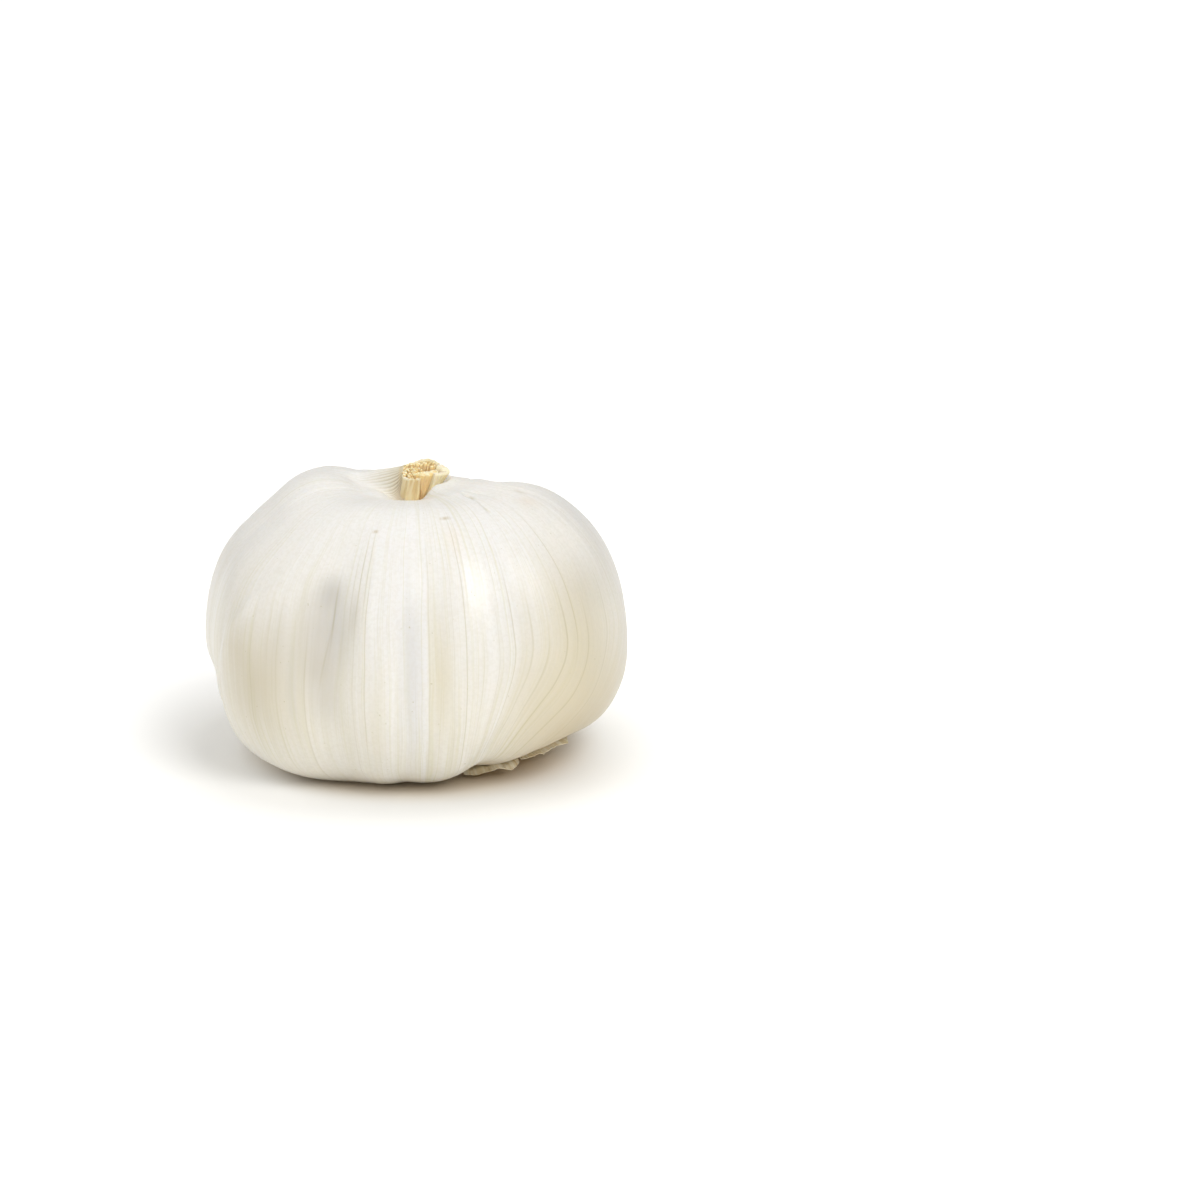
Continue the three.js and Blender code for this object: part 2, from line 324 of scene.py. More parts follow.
@dataclass(frozen=True)
class PaperSkin:
    """The dry white skins: satin, veined from root to neck, a little translucent."""

    name: str = "paper_skin"
    white: tuple[float, float, float] = shade(234, 232, 229)
    ivory: tuple[float, float, float] = shade(227, 222, 209)
    straw: tuple[float, float, float] = shade(203, 199, 148)
    tan: tuple[float, float, float] = shade(168, 158, 98)
    # partly the olive tone of the skin by the neck, partly painted shade in the hollow left of it
    olive_and_shade: tuple[float, float, float] = shade(222, 214, 188)
    bright: tuple[float, float, float] = shade(244, 243, 241)
    # painted light: a glow on the shaded skin right of the neck
    painted_glow: tuple[float, float, float] = shade(255, 250, 238)  # right of the neck
    # painted light on the skin's edge at the neck, with its cream tone
    cream_glow: tuple[float, float, float] = shade(254, 243, 216)  # its edge at the neck
    # partly a straw tone, partly painted shade where the skin meets the neck
    collar_and_shade: tuple[float, float, float] = shade(216, 198, 156)  # the same on the left
    brown: tuple[float, float, float] = shade(200, 172, 120)
    # The next two are painted shade in the pleats round the neck.
    crease: tuple[float, float, float] = shade(166, 148, 108)
    deep_pleat_shade: tuple[float, float, float] = shade(140, 108, 58)
    grit: tuple[float, float, float] = shade(204, 197, 180)
    bump_depth: float = 0.042  # mm
    window: tuple[float, float] = (258.3, 276.3)  # degrees: where the outer skin is torn off
    window_ends: tuple[float, float] = (0.16, 0.63)  # along
    sweep: float = 25.0  # degrees that the veins swing forwards low down at the right
    sweep_start: tuple[float, float] = (284.0, 306.0)  # degrees: where that sets in
    sweep_end: tuple[float, float] = (400.0, 330.0)  # degrees: where it is gone, and full
    sweep_height: tuple[float, float] = (0.44, 0.18)  # along: where it starts, and is full
    left_side: tuple[float, float] = (168.0, 78.0)  # degrees: its middle, and how wide
    brown_side: tuple[float, float] = (219.0, 52.0)
    glow_side: tuple[float, float] = (350.0, 60.0)
    cream_glow_side: tuple[float, float] = (290.0, 85.0)
    veins: tuple[Vein, ...] = (
        Vein(258.1, 0.27, 0.55, 0.3, 0.28),
        Vein(254.6, 0.2, 0.6, 0.35, 0.14),
        Vein(276.6, 0.2, 0.6, 0.45, 0.17),
        Vein(287.1, 0.2, 0.66, 0.28, 0.3),
        Vein(291.5, 0.12, 0.45, 0.25, 0.14, 0.5),
        Vein(272.5, 0.12, 0.4, 0.25, 0.1),
        Vein(283.6, 0.1, 0.6, 0.3, 0.12),
        Vein(301.6, 0.2, 0.54, 0.35, 0.3),
        Vein(306.2, 0.22, 0.5, 0.5, 0.2, 0.8),
        Vein(316.6, 0.2, 0.5, 0.45, 0.34),
        Vein(325.4, 0.2, 0.46, 0.5, 0.3),
        Vein(335.5, 0.2, 0.5, 0.5, 0.24, 1.0),
        Vein(320.4, 0.42, 0.62, 0.4, 0.26),
        Vein(311.4, 0.2, 0.44, 0.6, 0.22),
        Vein(233.0, 0.1, 0.5, 0.3, 0.12),
        Vein(225.5, 0.1, 0.5, 0.35, 0.12),
        Vein(247.0, 0.455, 0.525, 0.5, 0.4, 0.3),
        Vein(245.0, 0.39, 0.45, 0.45, 0.25, 1.4),
        Vein(257.0, 0.5, 0.62, 0.45, 0.3),
        Vein(254.8, 0.5, 0.6, 0.4, 0.24),
        Vein(252.5, 0.48, 0.58, 0.4, 0.2),
        Vein(288.2, 0.5, 0.655, 0.5, 0.22, 0.8),
        Vein(296.2, 0.14, 0.5, 0.3, 0.16, 0.6),
        Vein(240.2, 0.12, 0.45, 0.4, 0.2, 0.5),
        Vein(418.0, 0.16, 0.6, 0.35, 0.24, 1.0),
        Vein(433.2, 0.14, 0.58, 0.3, 0.3),
        Vein(97.0, 0.2, 0.5, 0.4, 0.2, -1.0),
        Vein(118.6, 0.2, 0.64, 0.35, 0.26),
        Vein(139.0, 0.12, 0.52, 0.3, 0.2, 1.2),
        Vein(176.0, 0.24, 0.6, 0.4, 0.22, 1.0),
        Vein(384.0, 0.15, 0.55, 0.35, 0.24, -1.4),
    )
    marks: tuple[SkinMark, ...] = (
        # The next eight darken the dent between the front cloves: painted shade in the hollow and
        # of the clove gap under the skin, with a greyer skin tone.
        SkinMark(245.6, 0.516, 6.6, 0.044, 0.5, shade(172, 169, 162)),
        SkinMark(246.8, 0.466, 10.0, 0.08, 0.5, shade(190, 189, 188)),
        SkinMark(254.4, 0.485, 2.4, 0.05, 0.35, shade(190, 184, 168)),
        SkinMark(244.4, 0.405, 6.0, 0.04, 0.42, shade(188, 181, 163)),
        SkinMark(246.4, 0.365, 8.0, 0.085, 0.52, shade(200, 195, 182)),
        SkinMark(232.4, 0.43, 5.5, 0.09, 0.34, shade(196, 191, 180)),
        SkinMark(237.4, 0.38, 2.6, 0.12, 0.4, shade(206, 205, 202)),
        SkinMark(244.0, 0.43, 13.0, 0.14, 0.66, shade(198, 192, 181)),
        SkinMark(271.5, 0.4, 5.5, 0.24, 0.7, shade(212, 211, 210)),
        SkinMark(261.8, 0.34, 3.8, 0.15, 0.52, shade(222, 216, 197)),
        # Painted highlight on the front right clove, where the key light falls.
        SkinMark(293.0, 0.5, 11.0, 0.1, 0.3, shade(250, 249, 245)),
        # The next four darken the lower right: a warmer tan tone with painted shade, and a brown
        # band of painted shade along the underside's edge.
        SkinMark(325.0, 0.24, 36.0, 0.22, 0.8, shade(194, 174, 130)),
        SkinMark(323.0, 0.41, 27.0, 0.22, 0.64, shade(212, 200, 166)),
        SkinMark(325.0, 0.178, 36.0, 0.055, 0.65, shade(148, 120, 76)),
        SkinMark(306.0, 0.35, 13.0, 0.13, 0.4, shade(212, 202, 174)),
        SkinMark(240.0, 0.22, 18.0, 0.12, 0.7, shade(236, 232, 222)),
        # The next two: darker tan under the front left clove's shoulder, partly its tone and partly
        # painted shade.
        SkinMark(227.0, 0.375, 17.0, 0.13, 0.66, shade(197, 186, 158)),
        SkinMark(221.0, 0.42, 5.0, 0.05, 0.3, shade(196, 184, 154)),
        # Darker tan in the valley right of the bare strip, partly its tone and partly painted
        # shade.
        SkinMark(280.0, 0.4, 4.6, 0.14, 0.46, shade(208, 197, 162)),
        # The next two are painted highlights: on the ridge at the bare strip's left edge and on the
        # front left clove's edge.
        SkinMark(260.8, 0.51, 2.2, 0.11, 0.6, shade(241, 240, 236)),
        SkinMark(222.5, 0.49, 3.2, 0.035, 0.6, shade(240, 238, 232)),
        SkinMark(287.5, 0.61, 6.0, 0.05, 0.22, shade(238, 222, 198)),
        # The next two are painted light: the crown lighter at the right, towards the key light.
        SkinMark(332.0, 0.58, 18.0, 0.09, 0.55, shade(250, 246, 238)),
        SkinMark(345.0, 0.73, 34.0, 0.13, 0.65, shade(254, 250, 243)),
        SkinMark(333.0, 0.66, 9.0, 0.03, 0.3, shade(232, 214, 190)),
        SkinMark(286.6, 0.662, 3.2, 0.008, 0.6, shade(182, 160, 116)),
        SkinMark(256.6, 0.627, 2.6, 0.007, 0.5, shade(184, 162, 120)),
        SkinMark(341.0, 0.69, 3.5, 0.02, 0.3, shade(190, 168, 130)),
        SkinMark(426.0, 0.4, 7.0, 0.2, 0.5, shade(214, 204, 170)),
        SkinMark(104.0, 0.36, 13.0, 0.13, 0.5, shade(206, 198, 176)),
        SkinMark(98.5, 0.5, 6.0, 0.06, 0.4, shade(200, 197, 190)),
        SkinMark(118.0, 0.642, 3.0, 0.007, 0.5, shade(184, 162, 120)),
        SkinMark(150.0, 0.34, 10.0, 0.16, 0.4, shade(210, 200, 168)),
        SkinMark(380.0, 0.3, 16.0, 0.18, 0.45, shade(212, 200, 164)),
        SkinMark(311.8, 0.735, 3.4, 0.016, 0.5, shade(188, 176, 140)),
        SkinMark(309.2, 0.68, 1.4, 0.03, 0.4, shade(196, 184, 150)),
    )

    def make(self) -> bpy.types.Material:
        """Builds the material.

        Returns:
            The finished material.
        """
        s = Shader(self.name)
        across, along = s.map(SKIN_MAP)
        degrees = across * 360.0 + BACK
        turn = across * TAU
        wander = s.noise(s.vector(turn.cos() * 2.6, turn.sin() * 2.6, along * 5.0), 1.0, 2.0)
        ripple = s.noise(s.vector(turn.cos() * 7.0, turn.sin() * 7.0, along * 11.0), 1.0, 1.0)
        swept = degrees.ease(*self.sweep_start) * degrees.ease(*self.sweep_end)
        swept = swept * along.ease(*self.sweep_height)
        turn = turn + wander * 0.05 + ripple * 0.014 + swept * (self.sweep * TAU / 360)
        degrees = degrees + wander * 2.4 - 1.2
        vein_degrees = degrees + swept * self.sweep
        ring = (turn.cos(), turn.sin())

        def streaks(count: float, stretch: float, shift: float, detail: float = 1.0) -> Field:
            """Noise drawn out from root to neck, about `count` streaks to a radian."""
            where = s.vector(ring[0] * count, ring[1] * count, along * stretch + shift)
            return s.noise(where, 1.0, detail)

        clouds = streaks(2.4, 3.0, 3.1, 2.0)
        bands = streaks(8.0, 2.2, 7.7, 2.0)
        threads = streaks(28.0, 2.8, 1.3, 2.0)
        hairs = streaks(96.0, 6.0, 5.9, 1.0)
        patchy = streaks(4.0, 3.2, 8.8, 1.0)
        veins = streaks(12.0, 0.5, 9.2).near(0.5, 0.024) * patchy.ease(0.42, 0.62)
        finer = streaks(31.0, 0.7, 2.4).near(0.5, 0.05) * patchy.ease(0.6, 0.4)
        low = along.ease(0.62, 0.18)

        frayed = degrees + streaks(3.0, 9.0, 6.1) * 2.0 - 1.0
        window = frayed.within(*self.window, 0.6) * along.within(*self.window_ends, 0.1)
        warmth = low * (along.ease(0.12, 0.34) * 0.4 + 0.45) + clouds.ease(0.35, 0.7) * 0.3
        warmth = warmth + bands.ease(0.35, 0.7) * (low * 0.22 + 0.12) - window * 0.35
        colour = s.blend(warmth, self.white, self.ivory)
        colour = s.blend(along.ease(0.48, 0.64) * 0.4, colour, self.bright)
        colour = s.blend(threads.ease(0.5, 0.3) * 0.22, colour, self.bright)
        strength = (low * 0.26 + 0.09) * (patchy.ease(0.34, 0.66) * 0.85 + 0.4)
        colour = s.blend(threads.ease(0.5, 0.8) * strength, colour, self.straw)
        colour = s.blend(hairs.ease(0.5, 0.8) * strength, colour, self.straw)
        colour = s.blend(veins * 0.28 + finer * 0.15, colour, self.straw)
        lines = None
        for vein in self.veins:
            slope = vein.drift / (vein.end - vein.start)
            centre = (along - vein.start) * slope + vein.angle
            line = vein_degrees.near(centre, vein.width)
            line = line * along.within(vein.start, vein.end, 0.05)
            line = line * vein.strength
            lines = line if lines is None else lines + line
        smeared = degrees + (threads - 0.5) * 4.0 + (hairs - 0.5) * 2.0
        # Blends in the marks: stains, and painted shade and painted highlights.
        for mark in self.marks:
            patch = smeared.near(mark.angle, mark.wide) * along.near(mark.along, mark.tall)
            colour = s.blend(patch * mark.strength, colour, mark.colour)
        colour = s.blend(lines, colour, self.tan)
        colour = s.blend(along.ease(0.07, 0.0) * 0.6, colour, self.tan)
        # Olive by the neck on the left: partly its tone, partly painted shade in the hollow there.
        left = degrees.near(*self.left_side)
        colour = s.blend(along.ease(0.82, 0.97) * (left * 0.7 + 0.1), colour, self.olive_and_shade)
        brown = degrees.near(*self.brown_side) * along.ease(0.89, 0.96)
        colour = s.blend(brown * 0.58, colour, self.brown)
        # Painted shade in the pleats round the neck, deepest at the neck's foot.
        pleat = s.worn(PLEATS)
        valley = s.blend(along.ease(0.9, 0.99), self.crease, self.deep_pleat_shade)
        colour = s.blend(pleat * 0.85, colour, valley)
        # Partly painted shade where the skin meets the neck on the left.
        colour = s.blend(along.ease(0.985, 1.02) * left * 0.6, colour, self.collar_and_shade)
        # Painted light: a glow on the shaded skin right of the neck.
        painted_glow_share = along.ease(0.76, 0.9) * degrees.near(*self.glow_side)
        colour = s.blend(painted_glow_share * 0.8, colour, self.painted_glow)
        # Painted light: a cream glow along the skin's edge at the neck's foot.
        lip = along.ease(0.94, 0.985) * degrees.near(*self.cream_glow_side)
        colour = s.blend(lip * 0.75, colour, self.cream_glow)
        speck = s.noise(s.place(), 2600.0, 0.0).ease(0.85, 0.87)
        colour = s.blend(speck * 0.4, colour, self.tan)
        grain = s.noise(s.place(), 2100.0, 1.0)
        colour = s.blend(grain.ease(0.4, 0.65) * 0.12, colour, self.grit)

        height = threads * 0.35 + hairs * 0.24 + bands * 0.3 - lines * 0.6 - veins * 0.25
        crumple = s.noise(s.place(), 420.0, 3.0)
        normal = s.bump(height + finer * 0.1 + crumple * 0.25 + grain * 0.2, self.bump_depth)
        return s.finish(
            base_color=colour,
            roughness=threads * 0.14 + 0.25 + crumple * 0.06,
            normal=normal,
            subsurface_weight=0.25,
            subsurface_radius=(1.0, 0.8, 0.6),
            subsurface_scale=0.001,
            specular_ior_level=0.62,
        )


@dataclass(frozen=True)
class LeafSheath:
    """The dried leaf sheaths of the neck: straw, striped from foot to cut edge."""

    name: str
    pale: tuple[float, float, float]
    deep: tuple[float, float, float]
    foot: tuple[float, float, float] = shade(176, 138, 82)
    blot: tuple[float, float, float] = shade(168, 134, 82)
    edge: tuple[float, float, float] = shade(252, 244, 218)  # where it is cut
    stripes: float = 24.0  # to 10 mm of cut edge

    def make(self) -> bpy.types.Material:
        """Builds the material.

        Returns:
            The finished material.
        """
        s = Shader(self.name)
        across, up = s.map(SKIN_MAP)
        where = s.vector(across * self.stripes, up * 1.4, 0.5)
        stripe = s.noise(where, 1.0, 2.0)
        blotch = s.noise(s.place(), 700.0, 2.0)
        colour = s.blend(stripe.ease(0.32, 0.62), self.deep, self.pale)
        colour = s.blend(up.ease(0.3, 0.0) * 0.4, colour, self.foot)
        colour = s.blend(blotch.ease(0.62, 0.8) * 0.2, colour, self.blot)
        cut = up.ease(0.93, 0.98) * blotch.ease(0.3, 0.5)
        colour = s.blend(cut * 0.7, colour, self.edge)
        normal = s.bump(stripe + blotch * 0.3, 0.07)
        return s.finish(
            base_color=colour,
            roughness=stripe * 0.2 + 0.55,
            normal=normal,
            subsurface_weight=0.25,
            subsurface_radius=(1.0, 0.7, 0.35),
            subsurface_scale=0.001,
        )


@dataclass(frozen=True)
class StalkFibre:
    """The cut end of the stalk: bright fibre ends over browner depths, partly painted shade between
    the fibres.
    """

    name: str = "stalk_fibre"
    # browner low down: partly the fibres' tone, partly painted shade between them
    foot: tuple[float, float, float] = shade(220, 182, 126)
    pale: tuple[float, float, float] = shade(240, 212, 160)
    stripe: tuple[float, float, float] = shade(222, 186, 126)
    head: tuple[float, float, float] = shade(242, 216, 154)
    torn: tuple[float, float, float] = shade(254, 244, 210)  # the torn tips

    def make(self) -> bpy.types.Material:
        """Builds the material.

        Returns:
            The finished material.
        """
        s = Shader(self.name)
        across, up = s.map(SKIN_MAP)
        grain = s.noise(s.place(), 1500.0, 2.0)
        stripe = s.noise(s.vector(across * 30.0, up * 1.5, 0.7), 1.0, 1.0)
        # Browner towards the foot: partly the fibres' tone, partly painted shade deep between them.
        colour = s.blend(up.ease(0.05, 0.6), self.foot, self.pale)
        colour = s.blend(stripe.ease(0.4, 0.6) * 0.3, colour, self.stripe)
        colour = s.blend(up.ease(0.8, 0.95), colour, self.head)
        colour = s.blend(up.ease(0.9, 1.0) * grain.ease(0.4, 0.55), colour, self.torn)
        normal = s.bump(grain, 0.1)
        return s.finish(
            base_color=colour,
            roughness=grain * 0.2 + 0.6,
            normal=normal,
            subsurface_weight=0.2,
            subsurface_radius=(1.0, 0.6, 0.3),
            subsurface_scale=0.0006,
        )


@dataclass(frozen=True)
class CorkyRoot:
    """The root plate: dry, corky and brown, with painted shade in the hollows of its bump."""

    name: str = "corky_root"
    dark: tuple[float, float, float] = shade(168, 130, 80)
    light: tuple[float, float, float] = shade(206, 176, 124)
    crumb: tuple[float, float, float] = shade(232, 212, 166)
    # painted shade in the hollows of the bump
    hollow: tuple[float, float, float] = shade(104, 72, 40)

    def make(self) -> bpy.types.Material:
        """Builds the material.

        Returns:
            The finished material.
        """
        s = Shader(self.name)
        place = s.place()
        rough = s.noise(place, 900.0, 4.0)
        patch = s.noise(place, 260.0, 2.0)
        colour = s.blend(patch.ease(0.35, 0.65), self.dark, self.light)
        colour = s.blend(rough.ease(0.5, 0.72) * 0.7, colour, self.crumb)
        # Painted shade where the bump is lowest.
        colour = s.blend(rough.ease(0.42, 0.3) * 0.8, colour, self.hollow)
        return s.finish(
            base_color=colour,
            roughness=rough * 0.2 + 0.75,
            normal=s.bump(rough, 0.35),
        )


@dataclass(frozen=True)
class TornSkin:
    """Loose ends of skin: thin, creased, stained by the root and darkened there by painted shade
    under the bulb.
    """

    name: str = "torn_skin"
    warm: tuple[float, float, float] = shade(234, 216, 178)
    pale: tuple[float, float, float] = shade(251, 241, 214)
    # partly a root stain, partly painted shade under the bulb
    root_stain_and_shade: tuple[float, float, float] = shade(142, 106, 60)  # close to the root plate
    blot: tuple[float, float, float] = shade(172, 140, 92)

    def make(self) -> bpy.types.Material:
        """Builds the material.

        Returns:
            The finished material.
        """
        s = Shader(self.name)
        across, out = s.map(SKIN_MAP)
        stripe = s.noise(s.vector(across * 22.0, out * 1.2, 0.3), 1.0, 2.0)
        blotch = s.noise(s.place(), 500.0, 3.0)
        colour = s.blend(stripe.ease(0.35, 0.7), self.warm, self.pale)
        # Darker towards the root plate: partly a root stain, partly painted shade under the bulb.
        colour = s.blend(out.ease(0.88, 0.3) * 0.8, colour, self.root_stain_and_shade)
        colour = s.blend(blotch.ease(0.58, 0.72) * 0.3, colour, self.blot)
        return s.finish(
            base_color=colour,
            roughness=stripe * 0.15 + 0.5,
            normal=s.bump(stripe + blotch * 0.4, 0.12),
            subsurface_weight=0.2,
            subsurface_radius=(1.0, 0.75, 0.5),
            subsurface_scale=0.001,
        )


# --------------------------------------------------------------- shared shaping


def ease(value: Array, low: float, high: float) -> Array:
    """A smooth rise from 0 at `low` to 1 at `high`, or a fall where `low` is higher."""
    share = np.clip((value - low) / (high - low), 0, 1)
    return share * share * (3 - 2 * share)


def hump(value: Array, width: float) -> Array:
    """A smooth hump: 1 at 0, and falling away over `width`."""
    return np.exp(-((value / width) ** 2))


def turn_between(start: float | Array, end: Array) -> Array:
    """The turn from one angle to another, in degrees, between -180 and 180."""
    return (end - start + 180) % 360 - 180


def polyline(value: Array, points: tuple[tuple[float, float], ...]) -> Array:
    """The height of a broken line, given as its corners from left to right."""
    places, heights = zip(*points)
    return np.interp(value, places, heights)


def curve(points: tuple[tuple[float, ...], ...], share: Array) -> Array:
    """A smooth curve through points.

    Args:
        points: the points that it passes through.
        share: how far along it, from 0 to 1.

    Returns:
        The places there.
    """
    corners = np.array([points[0], *points, points[-1]], float)
    steps = np.clip(share, 0, 1) * (len(points) - 1)
    first = np.minimum(steps.astype(int), len(points) - 2)
    part = (steps - first)[..., None]
    a, b, c, d = (corners[first + i] for i in range(4))
    place = 2 * b + (c - a) * part + (2 * a - 5 * b + 4 * c - d) * part**2
    return 0.5 * (place + (-a + 3 * b - 3 * c + d) * part**3)


@dataclass(frozen=True)
class Waves:
    """A seeded sum of waves round the axis that also drift along the bulb."""

    seed: int
    counts: tuple[int, ...]  # whole waves round the bulb
    height: float  # mm, of all of them together
    drift: float  # radians that a wave turns from root to neck

    def at(self, around: Array, along: Array) -> Array:
        """The height of the waves.

        Args:
            around: degrees round the axis.
            along: from 0 at the root to 1 at the neck.

        Returns:
            Millimetres, above or below the surface.
        """
        draw = random.Random(self.seed)
        total = 0.0
        for count in self.counts:
            phase, swing, pace = draw.uniform(0, TAU), draw.uniform(-1, 1), draw.uniform(2, 6)
            strength = draw.uniform(0.5, 1.0)
            moved = self.drift * (swing * along + 0.25 * np.sin(pace * along + phase))
            total = total + strength * np.cos(np.radians(around) * count + phase + moved)
        return total * self.height / math.sqrt(len(self.counts))


# ------------------------------------------------------------ the bulb's surface


@dataclass(frozen=True)
class Clove:
    """What one clove does to the skin: its angle in degrees, and the rest in mm."""

    angle: float
    reach: float  # from the axis to the skin at the belly
    crown: float  # how much higher its top stands
    lift: float  # how much higher its underside stands
    slope: float  # how far its shoulder is drawn in


@dataclass(frozen=True)
class Crease:
    """A line where the skin is pressed in, from one place on it to another."""

    start: tuple[float, float]  # degrees round, along
    end: tuple[float, float]
    depth: float  # mm
    width: float  # mm


@dataclass(frozen=True)
class Swell:
    """A soft swelling of the skin, or a dent where its height is below 0."""

    angle: float  # degrees round
    along: float
    wide: float  # mm from its middle to its edge
    tall: float  # along, from its middle to its edge
    height: float  # mm


@dataclass(frozen=True)
class TornEdge:
    """A side of the strip where the outermost skin has come away."""

    angle: float  # degrees round
    side: int  # 1 where the outer skin lies at larger angles, -1 at smaller ones
    bottom: float  # along
    top: float
    step: float  # mm


@dataclass(frozen=True)
class BulbShape:
    """The outside of the bulb: a turned section, pushed out by the cloves."""

    belly_radius: float = 30.4
    belly_height: float = 17.5
    outline: tuple[tuple[float, float], ...] = (
        (11.4, 1.3), (14.5, 0), (20, 0.5), (26.4, 4.2), (29.7, 10.6), (30.4, 17.5), (29.4, 25),
        (26.4, 32), (21.4, 37.4), (16, 39.9), (10.6, 40), (6.8, 38.7), (4.2, 37.5), (3.2, 37.3),
    )
    cloves: tuple[Clove, ...] = (
        Clove(12, 30.8, -0.9, 2, 0),
        Clove(50, 30, -2.6, 1, 0.6),
        Clove(88, 29.6, -3.2, 0, 0.8),
        Clove(124, 30.2, -1.5, 0, 1.2),
        Clove(156, 30.6, 0.6, 1.2, 2.1),
        Clove(184, 30.5, 1, 1.8, 2.3),
        Clove(217, 31.4, -0.7, 0, 1.7),
        Clove(240, 28.2, -0.6, 0, 1),
        Clove(262, 28.8, -0.4, 0, 0.4),
        Clove(292, 29.4, -0.4, 0.4, 0),
        Clove(322, 30.8, -0.2, 2.4, 0),
        Clove(347, 31, 0, 2.4, 0),
    )
    neck_foot: tuple[float, float] = (0.12, 0.0)  # mm: the middle of the neck's foot
    tent_angle: float = 163.0  # degrees: where the skin climbs the neck
    tent: tuple[tuple[float, float], ...] = (  # mm away from the neck's middle, mm up
        (0, 4.1), (2.2, 4.1), (3.2, 3.9), (4.6, 3.3), (6.2, 2.4), (7.9, 1.35), (10, 0.45), (13, 0))
    bank: tuple[tuple[float, float], ...] = (  # the same for its right side
        (2.2, 0.4), (3, 1.1), (4, 1.9), (5.2, 2.4), (6.2, 1.85), (7.2, 1.4), (9, 0.75),
        (12, 0.2), (14, 0))
    curvature: float = 16.0  # mm that a clove falls away per radian squared
    tautness: float = 1.6  # per mm
    spread: float = 9.0  # per radian squared
    shoulder_height: float = 36.5
    shoulder_depth: float = 4.5
    ribs: Waves = Waves(11, (17, 23, 31, 37, 46, 53, 61), 0.024, 4.0)
    fine_ribs: Waves = Waves(12, (83, 97, 109, 127, 139, 151), 0.005, 5.0)
    dimples: Waves = Waves(13, (3, 5, 7, 9, 12), 0.1, 9.0)
    sway: Waves = Waves(14, (2, 3, 5, 8), 0.45, 5.0)  # degrees that the veins wander
    torn_edges: tuple[TornEdge, ...] = (
        TornEdge(258.3, -1, 0.14, 0.627, 0.09),
        TornEdge(276.3, 1, 0.14, 0.6, 0.03),
        TornEdge(287.1, 1, 0.14, 0.66, 0.07),
        TornEdge(73.2, -1, 0.14, 0.58, 0.08),
        TornEdge(118.6, 1, 0.2, 0.642, 0.09),
    )
    swells: tuple[Swell, ...] = (
        Swell(247.5, 0.47, 3.6, 0.08, -0.95),
        Swell(45.0, 0.72, 8.0, 0.08, -0.75),
        Swell(158.0, 0.6, 9.0, 0.09, 0.5),
        Swell(186.0, 0.322, 8.0, 0.032, -0.7),
        Swell(295.5, 0.17, 2.8, 0.09, -1.5),
        Swell(322.0, 0.19, 8.0, 0.09, -0.7),
        Swell(230.0, 0.19, 7.0, 0.07, 0.55),
        Swell(250.0, 0.37, 4.6, 0.15, -0.45),
        Swell(265.0, 0.45, 4.4, 0.2, 0.3),
        Swell(279.5, 0.43, 1.8, 0.13, -0.32),
        Swell(297.0, 0.5, 6.0, 0.15, 0.3),
        Swell(318.0, 0.48, 4.0, 0.16, 0.2),
        Swell(308.0, 0.4, 2.0, 0.16, -0.15),
        Swell(230.0, 0.37, 5.5, 0.13, 0.35),
        Swell(196.0, 0.33, 6.0, 0.05, -0.6),
        Swell(203.0, 0.47, 6.0, 0.12, 0.2),
    )
    creases: tuple[Crease, ...] = (
        Crease((245.2, 0.4), (247.3, 0.52), 0.18, 0.4),
        Crease((312.6, 0.765), (311.2, 0.715), 0.3, 0.35),
        Crease((311.2, 0.715), (308.2, 0.655), 0.22, 0.28),
        Crease((318.0, 0.79), (321.0, 0.73), 0.2, 0.3),
        Crease((12.0, 0.82), (42.0, 0.77), 0.35, 0.4),
        Crease((296.0, 0.8), (297.0, 0.7), 0.08, 0.35),
        Crease((339.0, 0.71), (344.0, 0.67), 0.1, 0.6),
        Crease((286.5, 0.2), (299.5, 0.32), 0.3, 1.0),
        Crease((267.5, 0.1), (268.5, 0.24), 0.4, 2.0),
    )

    def section(self, along: Array) -> tuple[Array, Array]:
        """The average bulb's outline.

        Args:
            along: from 0 at the root to 1 at the neck.

        Returns:
            The radius and the height, in mm.
        """
        point = curve(self.outline, along)
        return point[..., 0], point[..., 1]

    def reach(self, around: Array) -> Array:
        """Finds how far the skin reaches at the belly.

        Args:
            around: degrees round the axis.

        Returns:
            Millimetres from the axis.
        """
        total = 0.0
        for clove in self.cloves:
            turn = np.radians(turn_between(clove.angle, around))
            arc = clove.reach - self.curvature * turn**2
            total = total + np.exp(self.tautness * (arc - self.belly_radius))
        return self.belly_radius + np.log(total) / self.tautness

    def blend(self, around: Array, measure: Callable[[Clove], float]) -> Array:
        """Blends a measure of the nearest cloves.

        Args:
            around: degrees round the axis.
            measure: what to take from each clove.

        Returns:
            The blended measure.
        """
        total, weights = 0.0, 0.0
        for clove in self.cloves:
            turn = np.radians(turn_between(clove.angle, around))
            weight = np.exp(-self.spread * turn**2)
            total = total + weight * measure(clove)
            weights = weights + weight
        return total / weights

